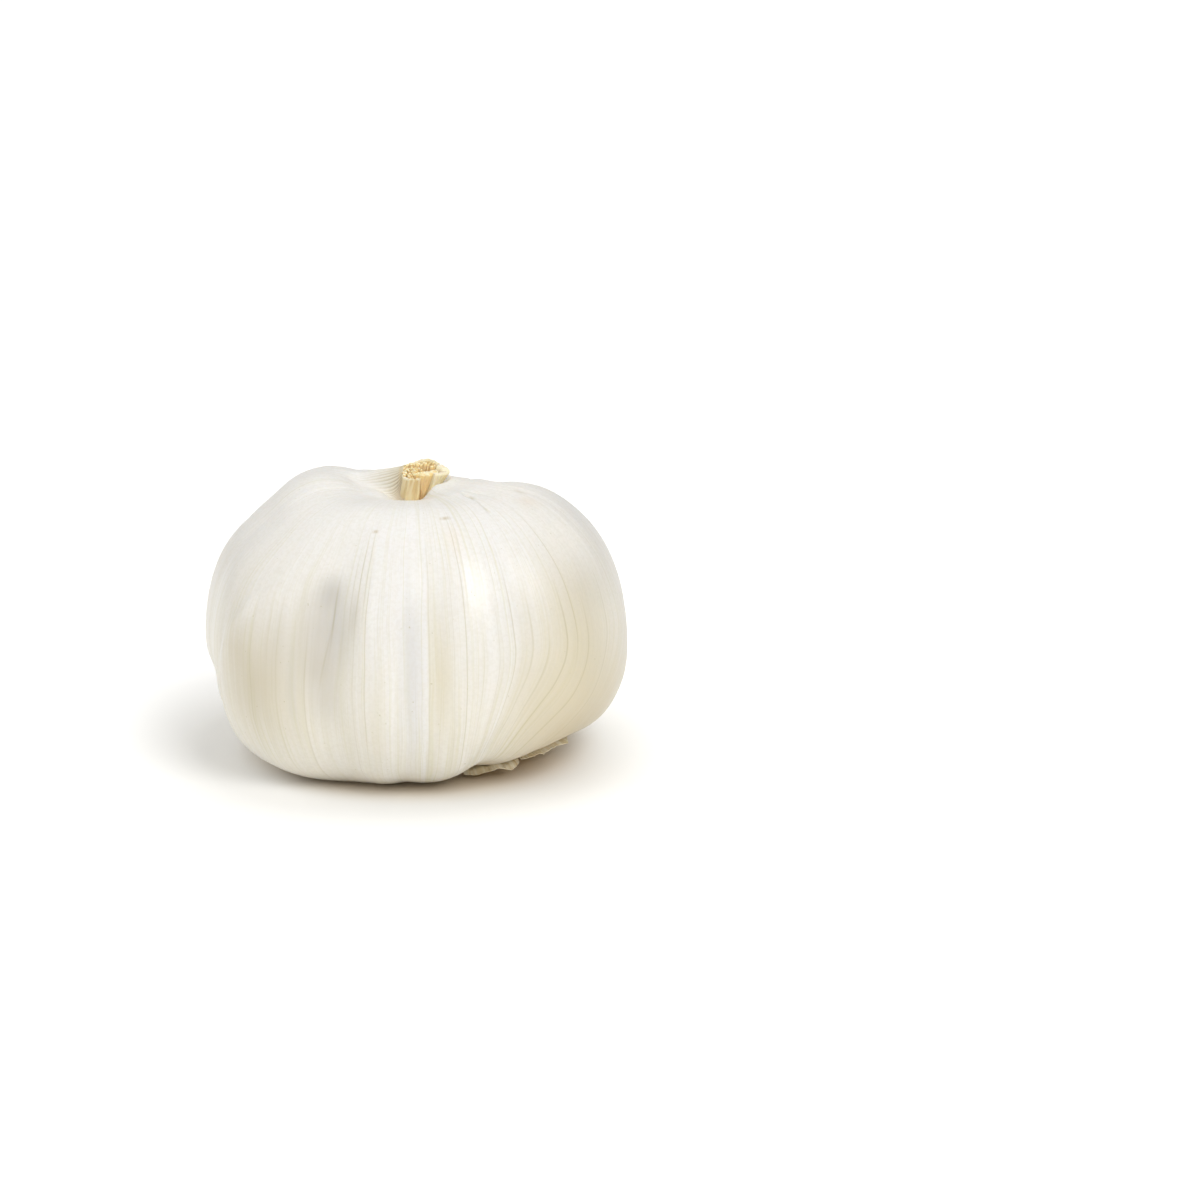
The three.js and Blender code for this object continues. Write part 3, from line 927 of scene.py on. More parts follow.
    def pushed(self, around: Array, along: Array) -> Array:
        """The surface without its fine relief.

        Args:
            around: degrees round the axis.
            along: from 0 at the root to 1 at the neck.

        Returns:
            The places, in mm from the foot of the axis.
        """
        radius, height = self.section(along)
        out = np.clip((radius - 10) / (self.belly_radius - 10), 0, 1)
        eased = out * out * (3 - 2 * out)
        grip = np.where(height < self.belly_height, np.sqrt(eased), eased)
        shoulder = hump(height - self.shoulder_height, self.shoulder_depth)
        slope = self.blend(around, lambda c: c.slope) * shoulder * np.clip((radius - 9) / 8, 0, 1)
        low = np.clip(1 - height / self.belly_height, 0, 1) ** 1.5
        low = low * np.clip((radius - 11) / 6, 0, 1)
        high = np.clip((height - self.belly_height) / 20, 0, 1) ** 1.2
        high = high * np.clip((radius - 4.4) / 8, 0, 1)
        lifted = height + self.blend(around, lambda c: c.lift) * low
        lifted = lifted + self.blend(around, lambda c: c.crown) * high
        wide = radius * (1 + (self.reach(around) / self.belly_radius - 1) * grip) - slope
        phi = np.radians(around)
        return np.stack([wide * np.cos(phi), wide * np.sin(phi), np.maximum(lifted, 0)], -1)

    def normal(self, around: Array, along: Array) -> Array:
        """Finds the direction straight out of the skin.

        Args:
            around: degrees round the axis.
            along: from 0 at the root to 1 at the neck.

        Returns:
            Unit vectors.
        """
        step = 0.004  # along
        up = self.pushed(around, np.minimum(along + step, 1)) - self.pushed(
            around, np.maximum(along - step, 0))
        side = self.pushed(around + 0.5, along) - self.pushed(around - 0.5, along)
        out = np.cross(side, up)
        return out / np.linalg.norm(out, axis=-1, keepdims=True)

    def relief(self, around: Array, along: Array) -> Array:
        """Adds up the skin's own ribs, puckers, dents and creases.

        Args:
            around: degrees round the axis.
            along: from 0 at the root to 1 at the neck.

        Returns:
            Millimetres out of the skin.
        """
        radius, _ = self.section(along)
        body = ease(along, 0.03, 0.2)
        relief = self.ribs.at(around, along) * body * ease(radius, 3, 14)
        relief = relief + self.fine_ribs.at(around, along) * body
        crown = ease(along, 0.2, 0.4) * ease(radius, 8, 18)
        relief = relief + self.dimples.at(around, along) * crown
        relief = relief + self.puckers(around, along, radius)
        relief = relief + self.lobe_edge(around, along, radius)
        for swell in self.swells:
            relief = relief + self.swelling(swell, around, along, radius)
        for edge in self.torn_edges:
            relief = relief + self.torn(edge, around, along)
        for crease in self.creases:
            relief = relief + self.pressed(crease, around, along, radius)
        return relief

    def pleat(self, around: Array, along: Array, radius: Array) -> Array:
        """Finds how deep the skin lies in a pleat beside the neck.

        Args:
            around: degrees round the axis.
            along: from 0 at the root to 1 at the neck.
            radius: mm from the axis.

        Returns:
            From 0, on a ridge, to 1, in a valley.
        """
        phi = np.radians(around)
        swung = phi + 0.05 * np.sin(5 * phi + 1) + 0.03 * np.sin(11 * phi + 2 + 3 * along)
        turned = 38 * swung + 29 * np.sin(phi - math.radians(185))
        valley = (1 - np.abs(np.sin(turned + 0.4))) ** 1.2
        uneven = 0.7 + 0.3 * np.sin(7 * phi + 0.5) * np.sin(3 * phi + 2)
        left = 0.35 + 0.65 * hump(turn_between(158.0, around), 65)
        reach = 5.0 + 3.5 * hump(turn_between(158.0, around), 60) + 1.2 * np.sin(13 * phi)
        return valley * uneven * left * ease(radius, reach, 3.6)

    def puckers(self, around: Array, along: Array, radius: Array) -> Array:
        """Draws the skin into pleats at the neck, and at the root.

        Args:
            around: degrees round the axis.
            along: from 0 at the root to 1 at the neck.
            radius: mm from the axis.

        Returns:
            Millimetres out of the skin, below 0.
        """
        phi = np.radians(around)
        root = 1 - np.abs(np.sin(26 * phi + 2 * np.sin(3 * phi)))
        root = -0.3 * root**1.5 * ease(along, 0.13, 0.02) * (0.7 + 0.3 * np.sin(9 * phi))
        return root - 0.2 * self.pleat(around, along, radius) * ease(along, 1.0, 0.985)

    def swelling(self, swell: Swell, around: Array, along: Array, radius: Array) -> Array:
        """One soft swelling or dent."""
        aside = np.radians(turn_between(swell.angle, around)) * radius
        return swell.height * hump(aside, swell.wide) * hump(along - swell.along, swell.tall)

    def lobe_edge(self, around: Array, along: Array, radius: Array) -> Array:
        """Stands the front left clove's edge proud of the clove beside it.

        Args:
            around: degrees round the axis.
            along: from 0 at the root to 1 at the neck.
            radius: mm from the axis.

        Returns:
            Millimetres out of the skin.
        """
        edge = polyline(along, ((0.3, 211.0), (0.34, 211.5), (0.4, 213.0), (0.45, 216.5),
                                (0.49, 221.5), (0.53, 229.0)))
        aside = np.radians(turn_between(edge, around)) * radius
        step = ease(aside, -1.2, 0.6) * hump(np.maximum(aside, 0), 4.5)
        return 0.45 * step * ease(along, 0.16, 0.32) * ease(along, 0.55, 0.46)

    def torn(self, edge: TornEdge, around: Array, along: Array) -> Array:
        """Steps up from the strip to the outer skin beside it.

        Args:
            edge: the side of the strip.
            around: degrees round the axis.
            along: from 0 at the root to 1 at the neck.

        Returns:
            Millimetres out of the skin.
        """
        aside = turn_between(edge.angle, around) * edge.side
        step = ease(aside, -0.2, 0.2) * hump(np.maximum(aside, 0), 6)
        ends = ease(along, edge.bottom, edge.bottom + 0.1) * ease(along, edge.top, edge.top - 0.005)
        return edge.step * step * ends

    def pressed(self, crease: Crease, around: Array, along: Array, radius: Array) -> Array:
        """One crease.

        Args:
            crease: where it runs.
            around: degrees round the axis.
            along: from 0 at the root to 1 at the neck.
            radius: mm from the axis.

        Returns:
            How far the skin is pressed in, below 0, in mm.
        """
        length = 75.0  # mm of skin from root to neck
        end_x = np.radians(turn_between(crease.start[0], np.asarray(crease.end[0]))) * radius
        end_y = (crease.end[1] - crease.start[1]) * length
        x = np.radians(turn_between(crease.start[0], around)) * radius
        y = (along - crease.start[1]) * length
        share = (x * end_x + y * end_y) / (end_x**2 + end_y**2)
        held = np.clip(share, 0, 1)
        gap = np.hypot(x - held * end_x, y - held * end_y)
        return -crease.depth * hump(gap, crease.width) * (0.35 + 0.65 * np.sin(math.pi * held))

    def gathered(self, place: Array, lift: float | Array = 1.0) -> Array:
        """Draws the skin in round the neck's foot, and up its left side like a tent.

        Args:
            place: places on the skin, in mm from the foot of the axis.
            lift: how much of the tent they take part in.

        Returns:
            The moved places.
        """
        x, y, z = np.moveaxis(place, -1, 0)
        away = np.hypot(x, y)
        drawn = ease(away, 8.0, 3.0)
        left = ease(-x / np.maximum(away, 0.1), -0.1, 0.8)
        x = x * (1 - (0.07 + 0.22 * left) * drawn) + self.neck_foot[0] * drawn
        y = y * (1 - 0.1 * drawn) + self.neck_foot[1] * drawn
        right_of = x - self.neck_foot[0]
        away, phi = np.hypot(right_of, y), np.degrees(np.arctan2(y, right_of))
        turn = np.radians(turn_between(self.tent_angle, phi))
        aside = away * np.sin(turn)
        flank = ease(aside, 1.9 + 0.16 * away, 0.1) * ease(-aside, 5.5, 0.3)
        tent = polyline(away, self.tent) * flank * (np.cos(turn) > -0.2)
        tent = tent + 0.6 * hump(turn_between(138.0, phi), 34) * ease(away, 5.0, 2.4)
        lip = 0.85 * hump(turn_between(212.0, phi), 21) * hump(away - 5.9, 1.7)
        right = turn_between(2.0, phi)
        bank = polyline(away, self.bank) * ease(right, -88, -50) * ease(right, 60, 25)
        return np.stack([x, y, z + (tent + lip + bank) * lift], -1)

    def point(self, around: Array, along: Array, proud: float | Array = 0.0) -> Array:
        """The finished skin, or a place above it.

        Args:
            around: degrees round the axis.
            along: from 0 at the root to 1 at the neck.
            proud: mm above the skin.

        Returns:
            The places, in mm from the foot of the axis.
        """
        rise = (self.relief(around, along) + proud)[..., None]
        swayed = around + self.sway.at(around, along)
        place = self.pushed(swayed, along) + self.normal(swayed, along) * rise
        place[..., 2] = np.maximum(place[..., 2], 0.0)
        return self.gathered(place)


# ------------------------------------------------------------------ piece tools


def active() -> bpy.types.Object:
    """The object that the last operator made."""
    return bpy.context.view_layer.objects.active


def free_hands() -> None:
    """Deselects everything, so that an operator acts on new work only."""
    if bpy.context.mode != "OBJECT":
        bpy.ops.object.mode_set(mode="OBJECT")
    bpy.ops.object.select_all(action="DESELECT")


def corners_of(piece: bpy.types.Object) -> Array:
    """Reads the places of a piece's vertices.

    Args:
        piece: the piece.

    Returns:
        One row for each vertex, in the piece's own units.
    """
    places = np.zeros(len(piece.data.vertices) * 3)
    piece.data.vertices.foreach_get("co", places)
    return places.reshape(-1, 3)


def move_corners(piece: bpy.types.Object, places: Array) -> None:
    """Puts a piece's vertices at their places.

    Args:
        piece: the piece.
        places: one row for each vertex, in mm from the foot of the axis.
    """
    metres = (places + np.array([*AXIS, 0.0])) * MM
    piece.data.vertices.foreach_set("co", metres.ravel())
    piece.data.update()


def map_piece(piece: bpy.types.Object, across: Array, up: Array) -> None:
    """Gives a piece its UV map.

    Args:
        piece: the piece.
        across: the map's first value, at each vertex.
        up: its second value.
    """
    mesh = piece.data
    while mesh.uv_layers:
        mesh.uv_layers.remove(mesh.uv_layers[0])
    layer = mesh.uv_layers.new(name=SKIN_MAP)
    corner = np.zeros(len(mesh.loops), int)
    mesh.loops.foreach_get("vertex_index", corner)
    layer.data.foreach_set("uv", np.stack([across[corner], up[corner]], -1).ravel())


def close_seams(piece: bpy.types.Object) -> None:
    """Merges the vertices that meet where a bent grid closes on itself.

    Args:
        piece: the piece.
    """
    free_hands()
    bpy.context.view_layer.objects.active = piece
    piece.select_set(True)
    bpy.ops.object.mode_set(mode="EDIT")
    bpy.ops.mesh.select_all(action="SELECT")
    bpy.ops.mesh.remove_doubles(threshold=1e-7)
    bpy.ops.mesh.delete_loose()
    bpy.ops.object.mode_set(mode="OBJECT")


def apply(piece: bpy.types.Object, kind: str, **settings: object) -> None:
    """Adds a modifier to a piece and applies it.

    Args:
        piece: the piece.
        kind: the modifier's type.
        settings: its properties.
    """
    free_hands()
    bpy.context.view_layer.objects.active = piece
    piece.select_set(True)
    modifier = piece.modifiers.new(kind.lower(), kind)
    for name, value in settings.items():
        setattr(modifier, name, value)
    bpy.ops.object.modifier_apply(modifier=modifier.name)


def join(pieces: list[bpy.types.Object]) -> bpy.types.Object:
    """Joins pieces.

    Args:
        pieces: the pieces; the rest are joined into the first.

    Returns:
        The joined piece.
    """
    free_hands()
    for piece in pieces:
        piece.select_set(True)
    bpy.context.view_layer.objects.active = pieces[0]
    bpy.ops.object.join()
    return active()


def smooth(piece: bpy.types.Object, degrees: float | None = None) -> None:
    """Shades a piece smooth.

    Args:
        piece: the piece.
        degrees: the sharpest angle between faces that is still smooth, or None for all.
    """
    free_hands()
    bpy.context.view_layer.objects.active = piece
    piece.select_set(True)
    if degrees is None:
        bpy.ops.object.shade_smooth()
    else:
        bpy.ops.object.shade_smooth_by_angle(angle=math.radians(degrees))


def hand_over(
    piece: bpy.types.Object,
    name: str,
    finish: bpy.types.Material,
    replaces: tuple[str, ...] = (),
) -> bpy.types.Object:
    """Names a finished piece, dresses it and ties it to the frame.

    Args:
        piece: the piece, with its place in its mesh.
        name: its name.
        finish: its material.
        replaces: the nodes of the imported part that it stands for.

    Returns:
        The piece.
    """
    piece.name = name
    piece.data.name = name
    piece.data.materials.clear()
    piece.data.materials.append(finish)
    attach(piece, BODY)
    if replaces:
        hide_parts(*replaces)
    LOG.info("%s: %d faces", name, len(piece.data.polygons))
    return piece


def sheet_grid(columns: int, rows: int) -> tuple[bpy.types.Object, Array, Array]:
    """A flat grid to be bent into a sheet.

    Args:
        columns: the faces across.
        rows: the faces up.

    Returns:
        The piece, and each vertex's place across and up, from 0 to 1.
    """
    free_hands()
    bpy.ops.mesh.primitive_grid_add(x_subdivisions=columns, y_subdivisions=rows, size=2)
    flat = corners_of(active())
    return active(), (flat[:, 0] + 1) / 2, (flat[:, 1] + 1) / 2


# ----------------------------------------------------------------- the pieces


@dataclass
class BulbBody:
    """The closed skins over the cloves, from the root plate's hollow to the neck."""

    shape: BulbShape
    finish: bpy.types.Material
    columns: int = 640
    rings: int = 152
    hollow: tuple[tuple[float, float], ...] = ((4.0, 2.6), (8.0, 2.6), (10.6, 2.5), (11.1, 2.0))
    socket: tuple[tuple[float, float], ...] = (
        (2.85, 37.36), (2.55, 37.46), (2.4, 37.5), (2.3, 37.4), (2.25, 36.4), (1.4, 35.7))
    crowding: float = 0.3  # how much closer the columns stand at the pleats
    neck_share: float = 0.34  # of the rings: how many crowd round the neck
    neck_from: float = 0.72  # along

    def ring_places(self) -> Array:
        """Spaces the rings of the skin, closer round the neck.

        Returns:
            Where each lies, from 0 at the root to 1 at the neck.
        """
        count = self.rings - 1 - len(self.hollow) - len(self.socket)
        crowded = int(count * self.neck_share)
        low = np.linspace(0, self.neck_from, count - crowded, endpoint=False)
        return np.concatenate([low, np.linspace(self.neck_from, 1, crowded)])

    def build(self) -> bpy.types.Object:
        """Bends a grid into the bulb.

        Returns:
            The piece.
        """
        piece, across, up = sheet_grid(self.columns, self.rings)
        ring = np.rint(up * self.rings).astype(int)
        across = across - self.crowding * np.sin(TAU * (across - 0.26)) / TAU
        across = across - across.min()
        around = across * 360 + BACK
        along = self.ring_places()
        first, last = len(self.hollow), len(self.hollow) + len(along)
        places = np.zeros((len(across), 3))
        places[ring == 0] = (0, 0, self.hollow[0][1])
        places[ring == self.rings] = (0, 0, self.socket[-1][1])
        skin = (ring > first) & (ring <= last)
        heights = np.full(len(across), -0.02)
        heights[ring > last] = 1.03
        heights[skin] = along[ring[skin] - first - 1]
        places[skin] = self.shape.point(around[skin], heights[skin])
        for number, (radius, height) in enumerate(self.hollow + self.socket):
            at = number + 1 if number < first else last + 1 + number - first
            here = ring == at
            phi = np.radians(around[here])
            flat = np.stack(
                [radius * np.cos(phi), radius * np.sin(phi), np.full(phi.shape, height)], -1)
            in_sight = number >= first and height > 37
            places[here] = self.shape.gathered(flat, float(in_sight)) if number >= first else flat
        move_corners(piece, places)
        map_piece(piece, across, heights)
        held = np.clip(heights, 0, 1)
        pleats = self.shape.pleat(around, held, self.shape.section(held)[0]) * (heights > 0)
        layer = piece.data.attributes.new(PLEATS, "FLOAT", "POINT")
        layer.data.foreach_set("value", pleats)
        close_seams(piece)
        smooth(piece)
        return hand_over(piece, "garlic_skin", self.finish, ("bulb",))


@dataclass
class Wall:
    """A standing wall of the neck, from an outline at its foot to its cut edge.

    Both outlines run anticlockwise seen from above, in mm from the axis, so the outside
    of the wall lies to their right.
    """

    foot: tuple[tuple[float, float], ...]  # where the wall leaves the skin
    rim: tuple[tuple[float, float, float], ...]  # along its cut edge
    thickness: tuple[float, float]  # mm at the foot and at the rim
    seed: int
    ribs: float = 9.0  # to a mm, in radians
    rib_depth: float = 0.05
    ragged: float = 0.1
    folds: tuple[tuple[float, float], ...] = ((0, 0), (1, 0))  # share across, mm
    base: float = 36.0  # mm: where the wall starts, down in the skin's socket
    skin_height: float = 37.2
    cuts: int = 40

    def plan(self, across: Array, rise: Array) -> Array:
        """The outside of the wall seen from above, without ribs and folds."""
        low = curve(self.foot, across)
        return low + (curve(self.rim, across)[..., :2] - low) * rise[..., None]

    def build(self) -> bpy.types.Object:
        """Bends a block into the wall.

        Returns:
            The piece.
        """
        free_hands()
        bpy.ops.mesh.primitive_cube_add(size=2)
        piece = active()
        bpy.ops.object.mode_set(mode="EDIT")
        bpy.ops.mesh.select_all(action="SELECT")
        bpy.ops.mesh.subdivide(number_cuts=self.cuts)
        bpy.ops.object.mode_set(mode="OBJECT")
        across, through, up = ((corners_of(piece) + 1) / 2).T
        draw = random.Random(self.seed)
        phases = [draw.uniform(0, TAU) for _ in range(6)]
        rim = curve(self.rim, across)
        wide = across * self.width()
        jag = np.sin(7 * wide + phases[0]) + 0.7 * np.sin(15 * wide + phases[1])
        jag = jag + 0.6 * np.sin(23 * wide + phases[2] + 5 * through)
        jag = jag + 0.5 * np.sin(11 * through + 4 * wide + phases[5])
        top = rim[..., 2] + self.ragged * 0.45 * jag
        height = self.base + (top - self.base) * up
        rise = np.clip((height - self.skin_height) / (rim[..., 2] - self.skin_height), 0, 1)
        before, after = np.clip(across - 0.02, 0, 1), np.clip(across + 0.02, 0, 1)
        run = self.plan(after, rise) - self.plan(before, rise)
        run = run / np.linalg.norm(run, axis=-1, keepdims=True)
        outwards = np.stack([run[..., 1], -run[..., 0]], -1)
        thick = self.thickness[0] + (self.thickness[1] - self.thickness[0]) * rise
        rounded = ease(up, 0.96, 1.0) * 0.08
        depth = thick * (through * (1 - 2 * rounded) + rounded - 1)
        rib = np.sin(self.ribs * wide + phases[3])
        rib = rib + 0.6 * np.sin(2.3 * self.ribs * wide + phases[4] + 0.8 * up)
        rib = rib * self.rib_depth * (2 * through - 1)
        fold = polyline(across, self.folds) * ease(up, 0.0, 0.3)
        place = self.plan(across, rise) + outwards * (depth + rib + fold)[..., None]
        move_corners(piece, np.column_stack([place, height]))
        map_piece(piece, wide / 10, up)
        smooth(piece, 40)
        return piece

    def width(self) -> float:
        """How long the cut edge is, in mm."""
        return sum(math.dist(a, b) for a, b in zip(self.rim, self.rim[1:]))


@dataclass
class Sheath:
    """The stump of one leaf sheath."""

    name: str
    node: str
    finish: bpy.types.Material
    wall: Wall

    def build(self) -> bpy.types.Object:
        """Builds the wall and hands it over."""
        return hand_over(self.wall.build(), self.name, self.finish, (self.node,))


@dataclass
class NeckCore:
    """The cut stalk: a bundle of fibres with rough ends, beside its smooth pale pith."""

    finish: bpy.types.Material
    pith: Wall
    spacing: float = 0.5
    fibre_radius: float = 0.26
    gather: float = 0.55  # how close the fibres stand at their foot
    middle: tuple[float, float] = (0.05, 0.2)
    foot: float = 36.2
    cut_height: float = 41.5
    cut_slope: float = 0.42
    core: tuple[float, float, float, float] = (0.1, 0.3, 40.2, 1.5)  # its end and its radius
    seed: int = 5

    def holds(self, x: float, y: float) -> bool:
        """Says whether a fibre ends at a place.

        Args:
            x: mm to the right.
            y: mm to the back.

        Returns:
            True inside the bundle's cut end.
        """
        main = math.hypot((x - 0.05) / 1.75, (y - 0.25) / 1.75) < 1
        back = math.hypot((x - 1.9) / 1.6, (y - 1.5) / 0.5) < 1
        in_hollow = x > 0.2 and y < 0.0
        in_pith = x > 1.1 and y < 1.0
        return (main or back) and not in_hollow and not in_pith

    def spots(self) -> list[tuple[float, float]]:
        """Scatters the fibres over the cut end.

        Returns:
            Where each ends, seen from above, in mm.
        """
        draw = random.Random(self.seed)
        found = []
        for row in range(12):
            for column in range(14):
                x = (column - 5 + 0.5 * (row % 2)) * self.spacing + draw.uniform(-0.1, 0.1)
                y = (row - 5) * self.spacing * 0.87 + draw.uniform(-0.1, 0.1)
                if self.holds(x, y):
                    found.append((x, y))
        return found

    def fibre(self, x: float, y: float, top: float, radius: float, turn: float) -> bpy.types.Object:
        """One fibre, from the foot to its rough end.

        Args:
            x: mm to the right, at its end.
            y: mm to the back, at its end.
            top: the height of its end, in mm.
            radius: its radius, in mm.
            turn: the direction that its end is torn in, in radians.

        Returns:
            The piece.
        """
        free_hands()
        bpy.ops.mesh.primitive_cylinder_add(vertices=12, radius=1, depth=2)
        piece = active()
        bpy.ops.object.mode_set(mode="EDIT")
        bpy.ops.mesh.select_all(action="SELECT")
        bpy.ops.mesh.bevel(offset=0.4, segments=3, affect="EDGES")
        bpy.ops.object.mode_set(mode="OBJECT")
        unit = corners_of(piece)
        up = (unit[:, 2] + 1) / 2
        phi = np.arctan2(unit[:, 1], unit[:, 0])
        rough = radius * (1 + 0.2 * np.sin(3 * phi + 5 * turn) + 0.12 * np.sin(5 * phi + turn))
        torn = 0.16 * np.cos(phi - turn) * np.hypot(unit[:, 0], unit[:, 1]) * ease(up, 0.5, 1.0)
        height = self.foot + (top - self.foot) * up**0.4 + torn
        held = self.gather + (1 - self.gather) * up**0.4
        move_corners(piece, np.stack([
            self.middle[0] + (x - self.middle[0]) * held + rough * unit[:, 0],
            self.middle[1] + (y - self.middle[1]) * held + rough * unit[:, 1], height], -1))
        map_piece(piece, up, np.clip(1 - (top - height) / 1.6, 0, 1))
        return piece

    def build(self) -> bpy.types.Object:
        """Stands the fibres together.

        Returns:
            The piece.
        """
        draw = random.Random(self.seed + 1)
        parts = []
        for x, y in self.spots():
            top = self.cut_height + self.cut_slope * y + draw.uniform(-0.16, 0.16)
            radius = self.fibre_radius * draw.uniform(0.75, 1.15)
            parts.append(self.fibre(x, y, top, radius, draw.uniform(0, TAU)))
        parts.append(self.fibre(*self.core, 0.0))
        for part in parts:
            smooth(part, 50)
        piece = join([*parts, self.pith.build()])
        return hand_over(piece, "stalk_fibres", self.finish, ("stem_core",))


@dataclass
class RootPlate:
    """The corky plate under the bulb, with broken root ends and a few dry wisps."""

    finish: bpy.types.Material
    radius: float = 10.4
    roof: float = 2.3
    table_gap: float = 0.5  # mm that the cork stands above the table
    stubs: int = 110
    wisps: int = 16
    seed: int = 21

    def disc(self) -> bpy.types.Object:
        """Flattens a sphere into the plate, pitted underneath.

        Returns:
            The piece.
        """
        free_hands()
        bpy.ops.mesh.primitive_uv_sphere_add(segments=180, ring_count=64, radius=1)
        piece = active()
        unit = corners_of(piece)
        phi = np.arctan2(unit[:, 1], unit[:, 0])
        polar = np.arccos(np.clip(-unit[:, 2], -1, 1)) / math.pi
        rim = self.radius + 0.17 * (np.sin(5 * phi) + np.sin(11 * phi)) + 0.12 * np.sin(29 * phi)
        flat = 0.42  # of the way from pole to pole: the underside, and again the roof
        out = np.minimum(np.minimum(polar, 1 - polar) / flat, 1)
        radius = rim * out * (1 - 0.015 * (np.minimum(polar, 1 - polar) > flat))
        side = np.clip((polar - flat) / (1 - 2 * flat), 0, 1)
        under = np.array([
            noise.fractal(Vector((x * 9, y * 9, 1.7)), 1.0, 2.0, 4)
            for x, y in zip(radius * np.cos(phi) / 10, radius * np.sin(phi) / 10)])
        bottom = self.table_gap + 0.22 * under + 0.35 * hump(out, 0.3)
        bottom = np.maximum(bottom, 0.05)
        height = bottom + (self.roof - bottom) * side
        move_corners(piece, np.stack([radius * np.cos(phi), radius * np.sin(phi), height], -1))
        smooth(piece)
        return piece

    def stub(self, angle: float, away: float, length: float, thick: float) -> bpy.types.Object:
        """Makes one broken root end that points down and a little outwards.

        Args:
            angle: degrees round the axis.
            away: mm from the axis.
            length: its length, in mm.
            thick: its radius at the top, in mm.

        Returns:
            The piece.
        """
        free_hands()
        bpy.ops.mesh.primitive_cone_add(
            vertices=7, radius1=1.0, radius2=0.75, depth=2, end_fill_type="TRIFAN")
        piece = active()
        unit = corners_of(piece)
        down = (1 - unit[:, 2]) / 2
        outwards = away + unit[:, 0] * thick + down * 0.35 * length
        sideways = unit[:, 1] * thick
        phi = math.radians(angle)
        height = 0.06 + (1 - down) * length
        move_corners(piece, np.stack([
            outwards * math.cos(phi) - sideways * math.sin(phi),
            outwards * math.sin(phi) + sideways * math.cos(phi), height], -1))
        return piece

    def wisp(self, angle: float, length: float, bend: float) -> bpy.types.Object:
        """Makes one dry rootlet that lies under the rim of the plate.

        Args:
            angle: degrees round the axis.
            length: how far it runs outwards, in mm.
            bend: how far its end swings aside, in mm.

        Returns:
            The piece.
        """
        free_hands()
        bpy.ops.mesh.primitive_cylinder_add(vertices=6, radius=1, depth=2)
        piece = active()
        bpy.ops.object.mode_set(mode="EDIT")
        bpy.ops.mesh.select_all(action="SELECT")
        bpy.ops.mesh.subdivide(number_cuts=9)
        bpy.ops.object.mode_set(mode="OBJECT")
        unit = corners_of(piece)
        run = (unit[:, 2] + 1) / 2
        thick = 0.17 * (1 - 0.7 * run)
        phi = math.radians(angle)
        outwards = self.radius - 1.5 + run * length
        sideways = bend * run**2 + unit[:, 0] * thick
        height = 0.45 - 0.2 * run + 0.12 * np.sin(6 * run) + unit[:, 1] * thick
        move_corners(piece, np.stack([
            outwards * math.cos(phi) - sideways * math.sin(phi),
            outwards * math.sin(phi) + sideways * math.cos(phi),
            np.maximum(height, 0.03)], -1))
        return piece

    def build(self) -> bpy.types.Object:
        """Joins the plate, the root ends and the wisps.

        Returns:
            The piece.
        """
        draw = random.Random(self.seed)
        parts = [self.disc()]
        for number in range(self.stubs):
            away = self.radius * 0.93 * math.sqrt((number + 0.6) / self.stubs)
            angle = number * 137.5 + draw.uniform(-8, 8)
            parts.append(self.stub(angle, away, draw.uniform(0.4, 0.9), draw.uniform(0.18, 0.4)))
        for number in range(self.wisps):
            angle = number * 360 / self.wisps + draw.uniform(-9, 9)
            parts.append(self.wisp(angle, draw.uniform(1.8, 3.6), draw.uniform(-1.4, 1.4)))
        piece = join(parts)
        smooth(piece, 50)
        return hand_over(piece, "root_plate_cork", self.finish, ("root_plate",))


@dataclass
class SkinFlake:
    """A torn end of skin that fans out close under the bulb and droops at its hem."""

    name: str
    node: str
    finish: bpy.types.Material
    angle: float
    left: tuple[tuple[float, float], ...]  # mm out from the root plate, mm aside
    right: tuple[tuple[float, float], ...]
    hem: tuple[tuple[float, float], ...]  # share across, mm that the torn end stands out
    hem_heights: tuple[tuple[float, float], ...]  # share across, mm above the table
    seed: int
    climb: tuple[tuple[float, float], ...] = ((0, 0), (0.35, 0.3), (0.7, 0.85), (0.86, 1), (1, 1))
    foot: float = 0.3  # mm above the table at the root plate
    droop: float = 0.55  # mm that the hem hangs below the fold before it
    inner: float = 11.3
    thickness: float = 0.12
    columns: int = 60
    rows: int = 56

    def build(self) -> bpy.types.Object:
        """Bends a grid into the flake.

        Returns:
            The piece.
        """
        piece, aside, out = sheet_grid(self.columns, self.rows)
        draw = random.Random(self.seed)
        phases = [draw.uniform(0, TAU) for _ in range(5)]
        left, right = curve(self.left, out), curve(self.right, out)
        flat = left + (right - left) * aside[:, None]
        torn = 0.1 * np.sin(21 * aside + phases[0]) + 0.07 * np.sin(47 * aside + phases[1])
        reach = flat[:, 0] + ease(out, 0.3, 1.0) * (polyline(aside, self.hem) + torn)
        crumple = 0.1 * np.sin(9 * aside + 2 * out + phases[2])
        crumple = crumple + 0.06 * np.sin(23 * aside - 3 * out + phases[3])
        fold = 0.18 * np.abs(np.sin(4.5 * aside + 1.5 * out + phases[4]))
        fold_height = polyline(aside, self.hem_heights) + self.droop
        height = self.foot + (fold_height - self.foot) * polyline(out, self.climb)
        height = height + (crumple + fold) * ease(out, 0.1, 0.6)
        height = height - self.droop * ease(out, 0.84, 1.0)
        phi = math.radians(self.angle)
        away = self.inner + reach
        move_corners(piece, np.stack([
            away * math.cos(phi) - flat[:, 1] * math.sin(phi),
            away * math.sin(phi) + flat[:, 1] * math.cos(phi), np.maximum(height, 0.14)], -1))
        map_piece(piece, aside, out)
        apply(piece, "SOLIDIFY", thickness=self.thickness * MM, offset=-1)
        smooth(piece, 50)
        return hand_over(piece, self.name, self.finish, (self.node,))


# ------------------------------------------------------------------- the studio


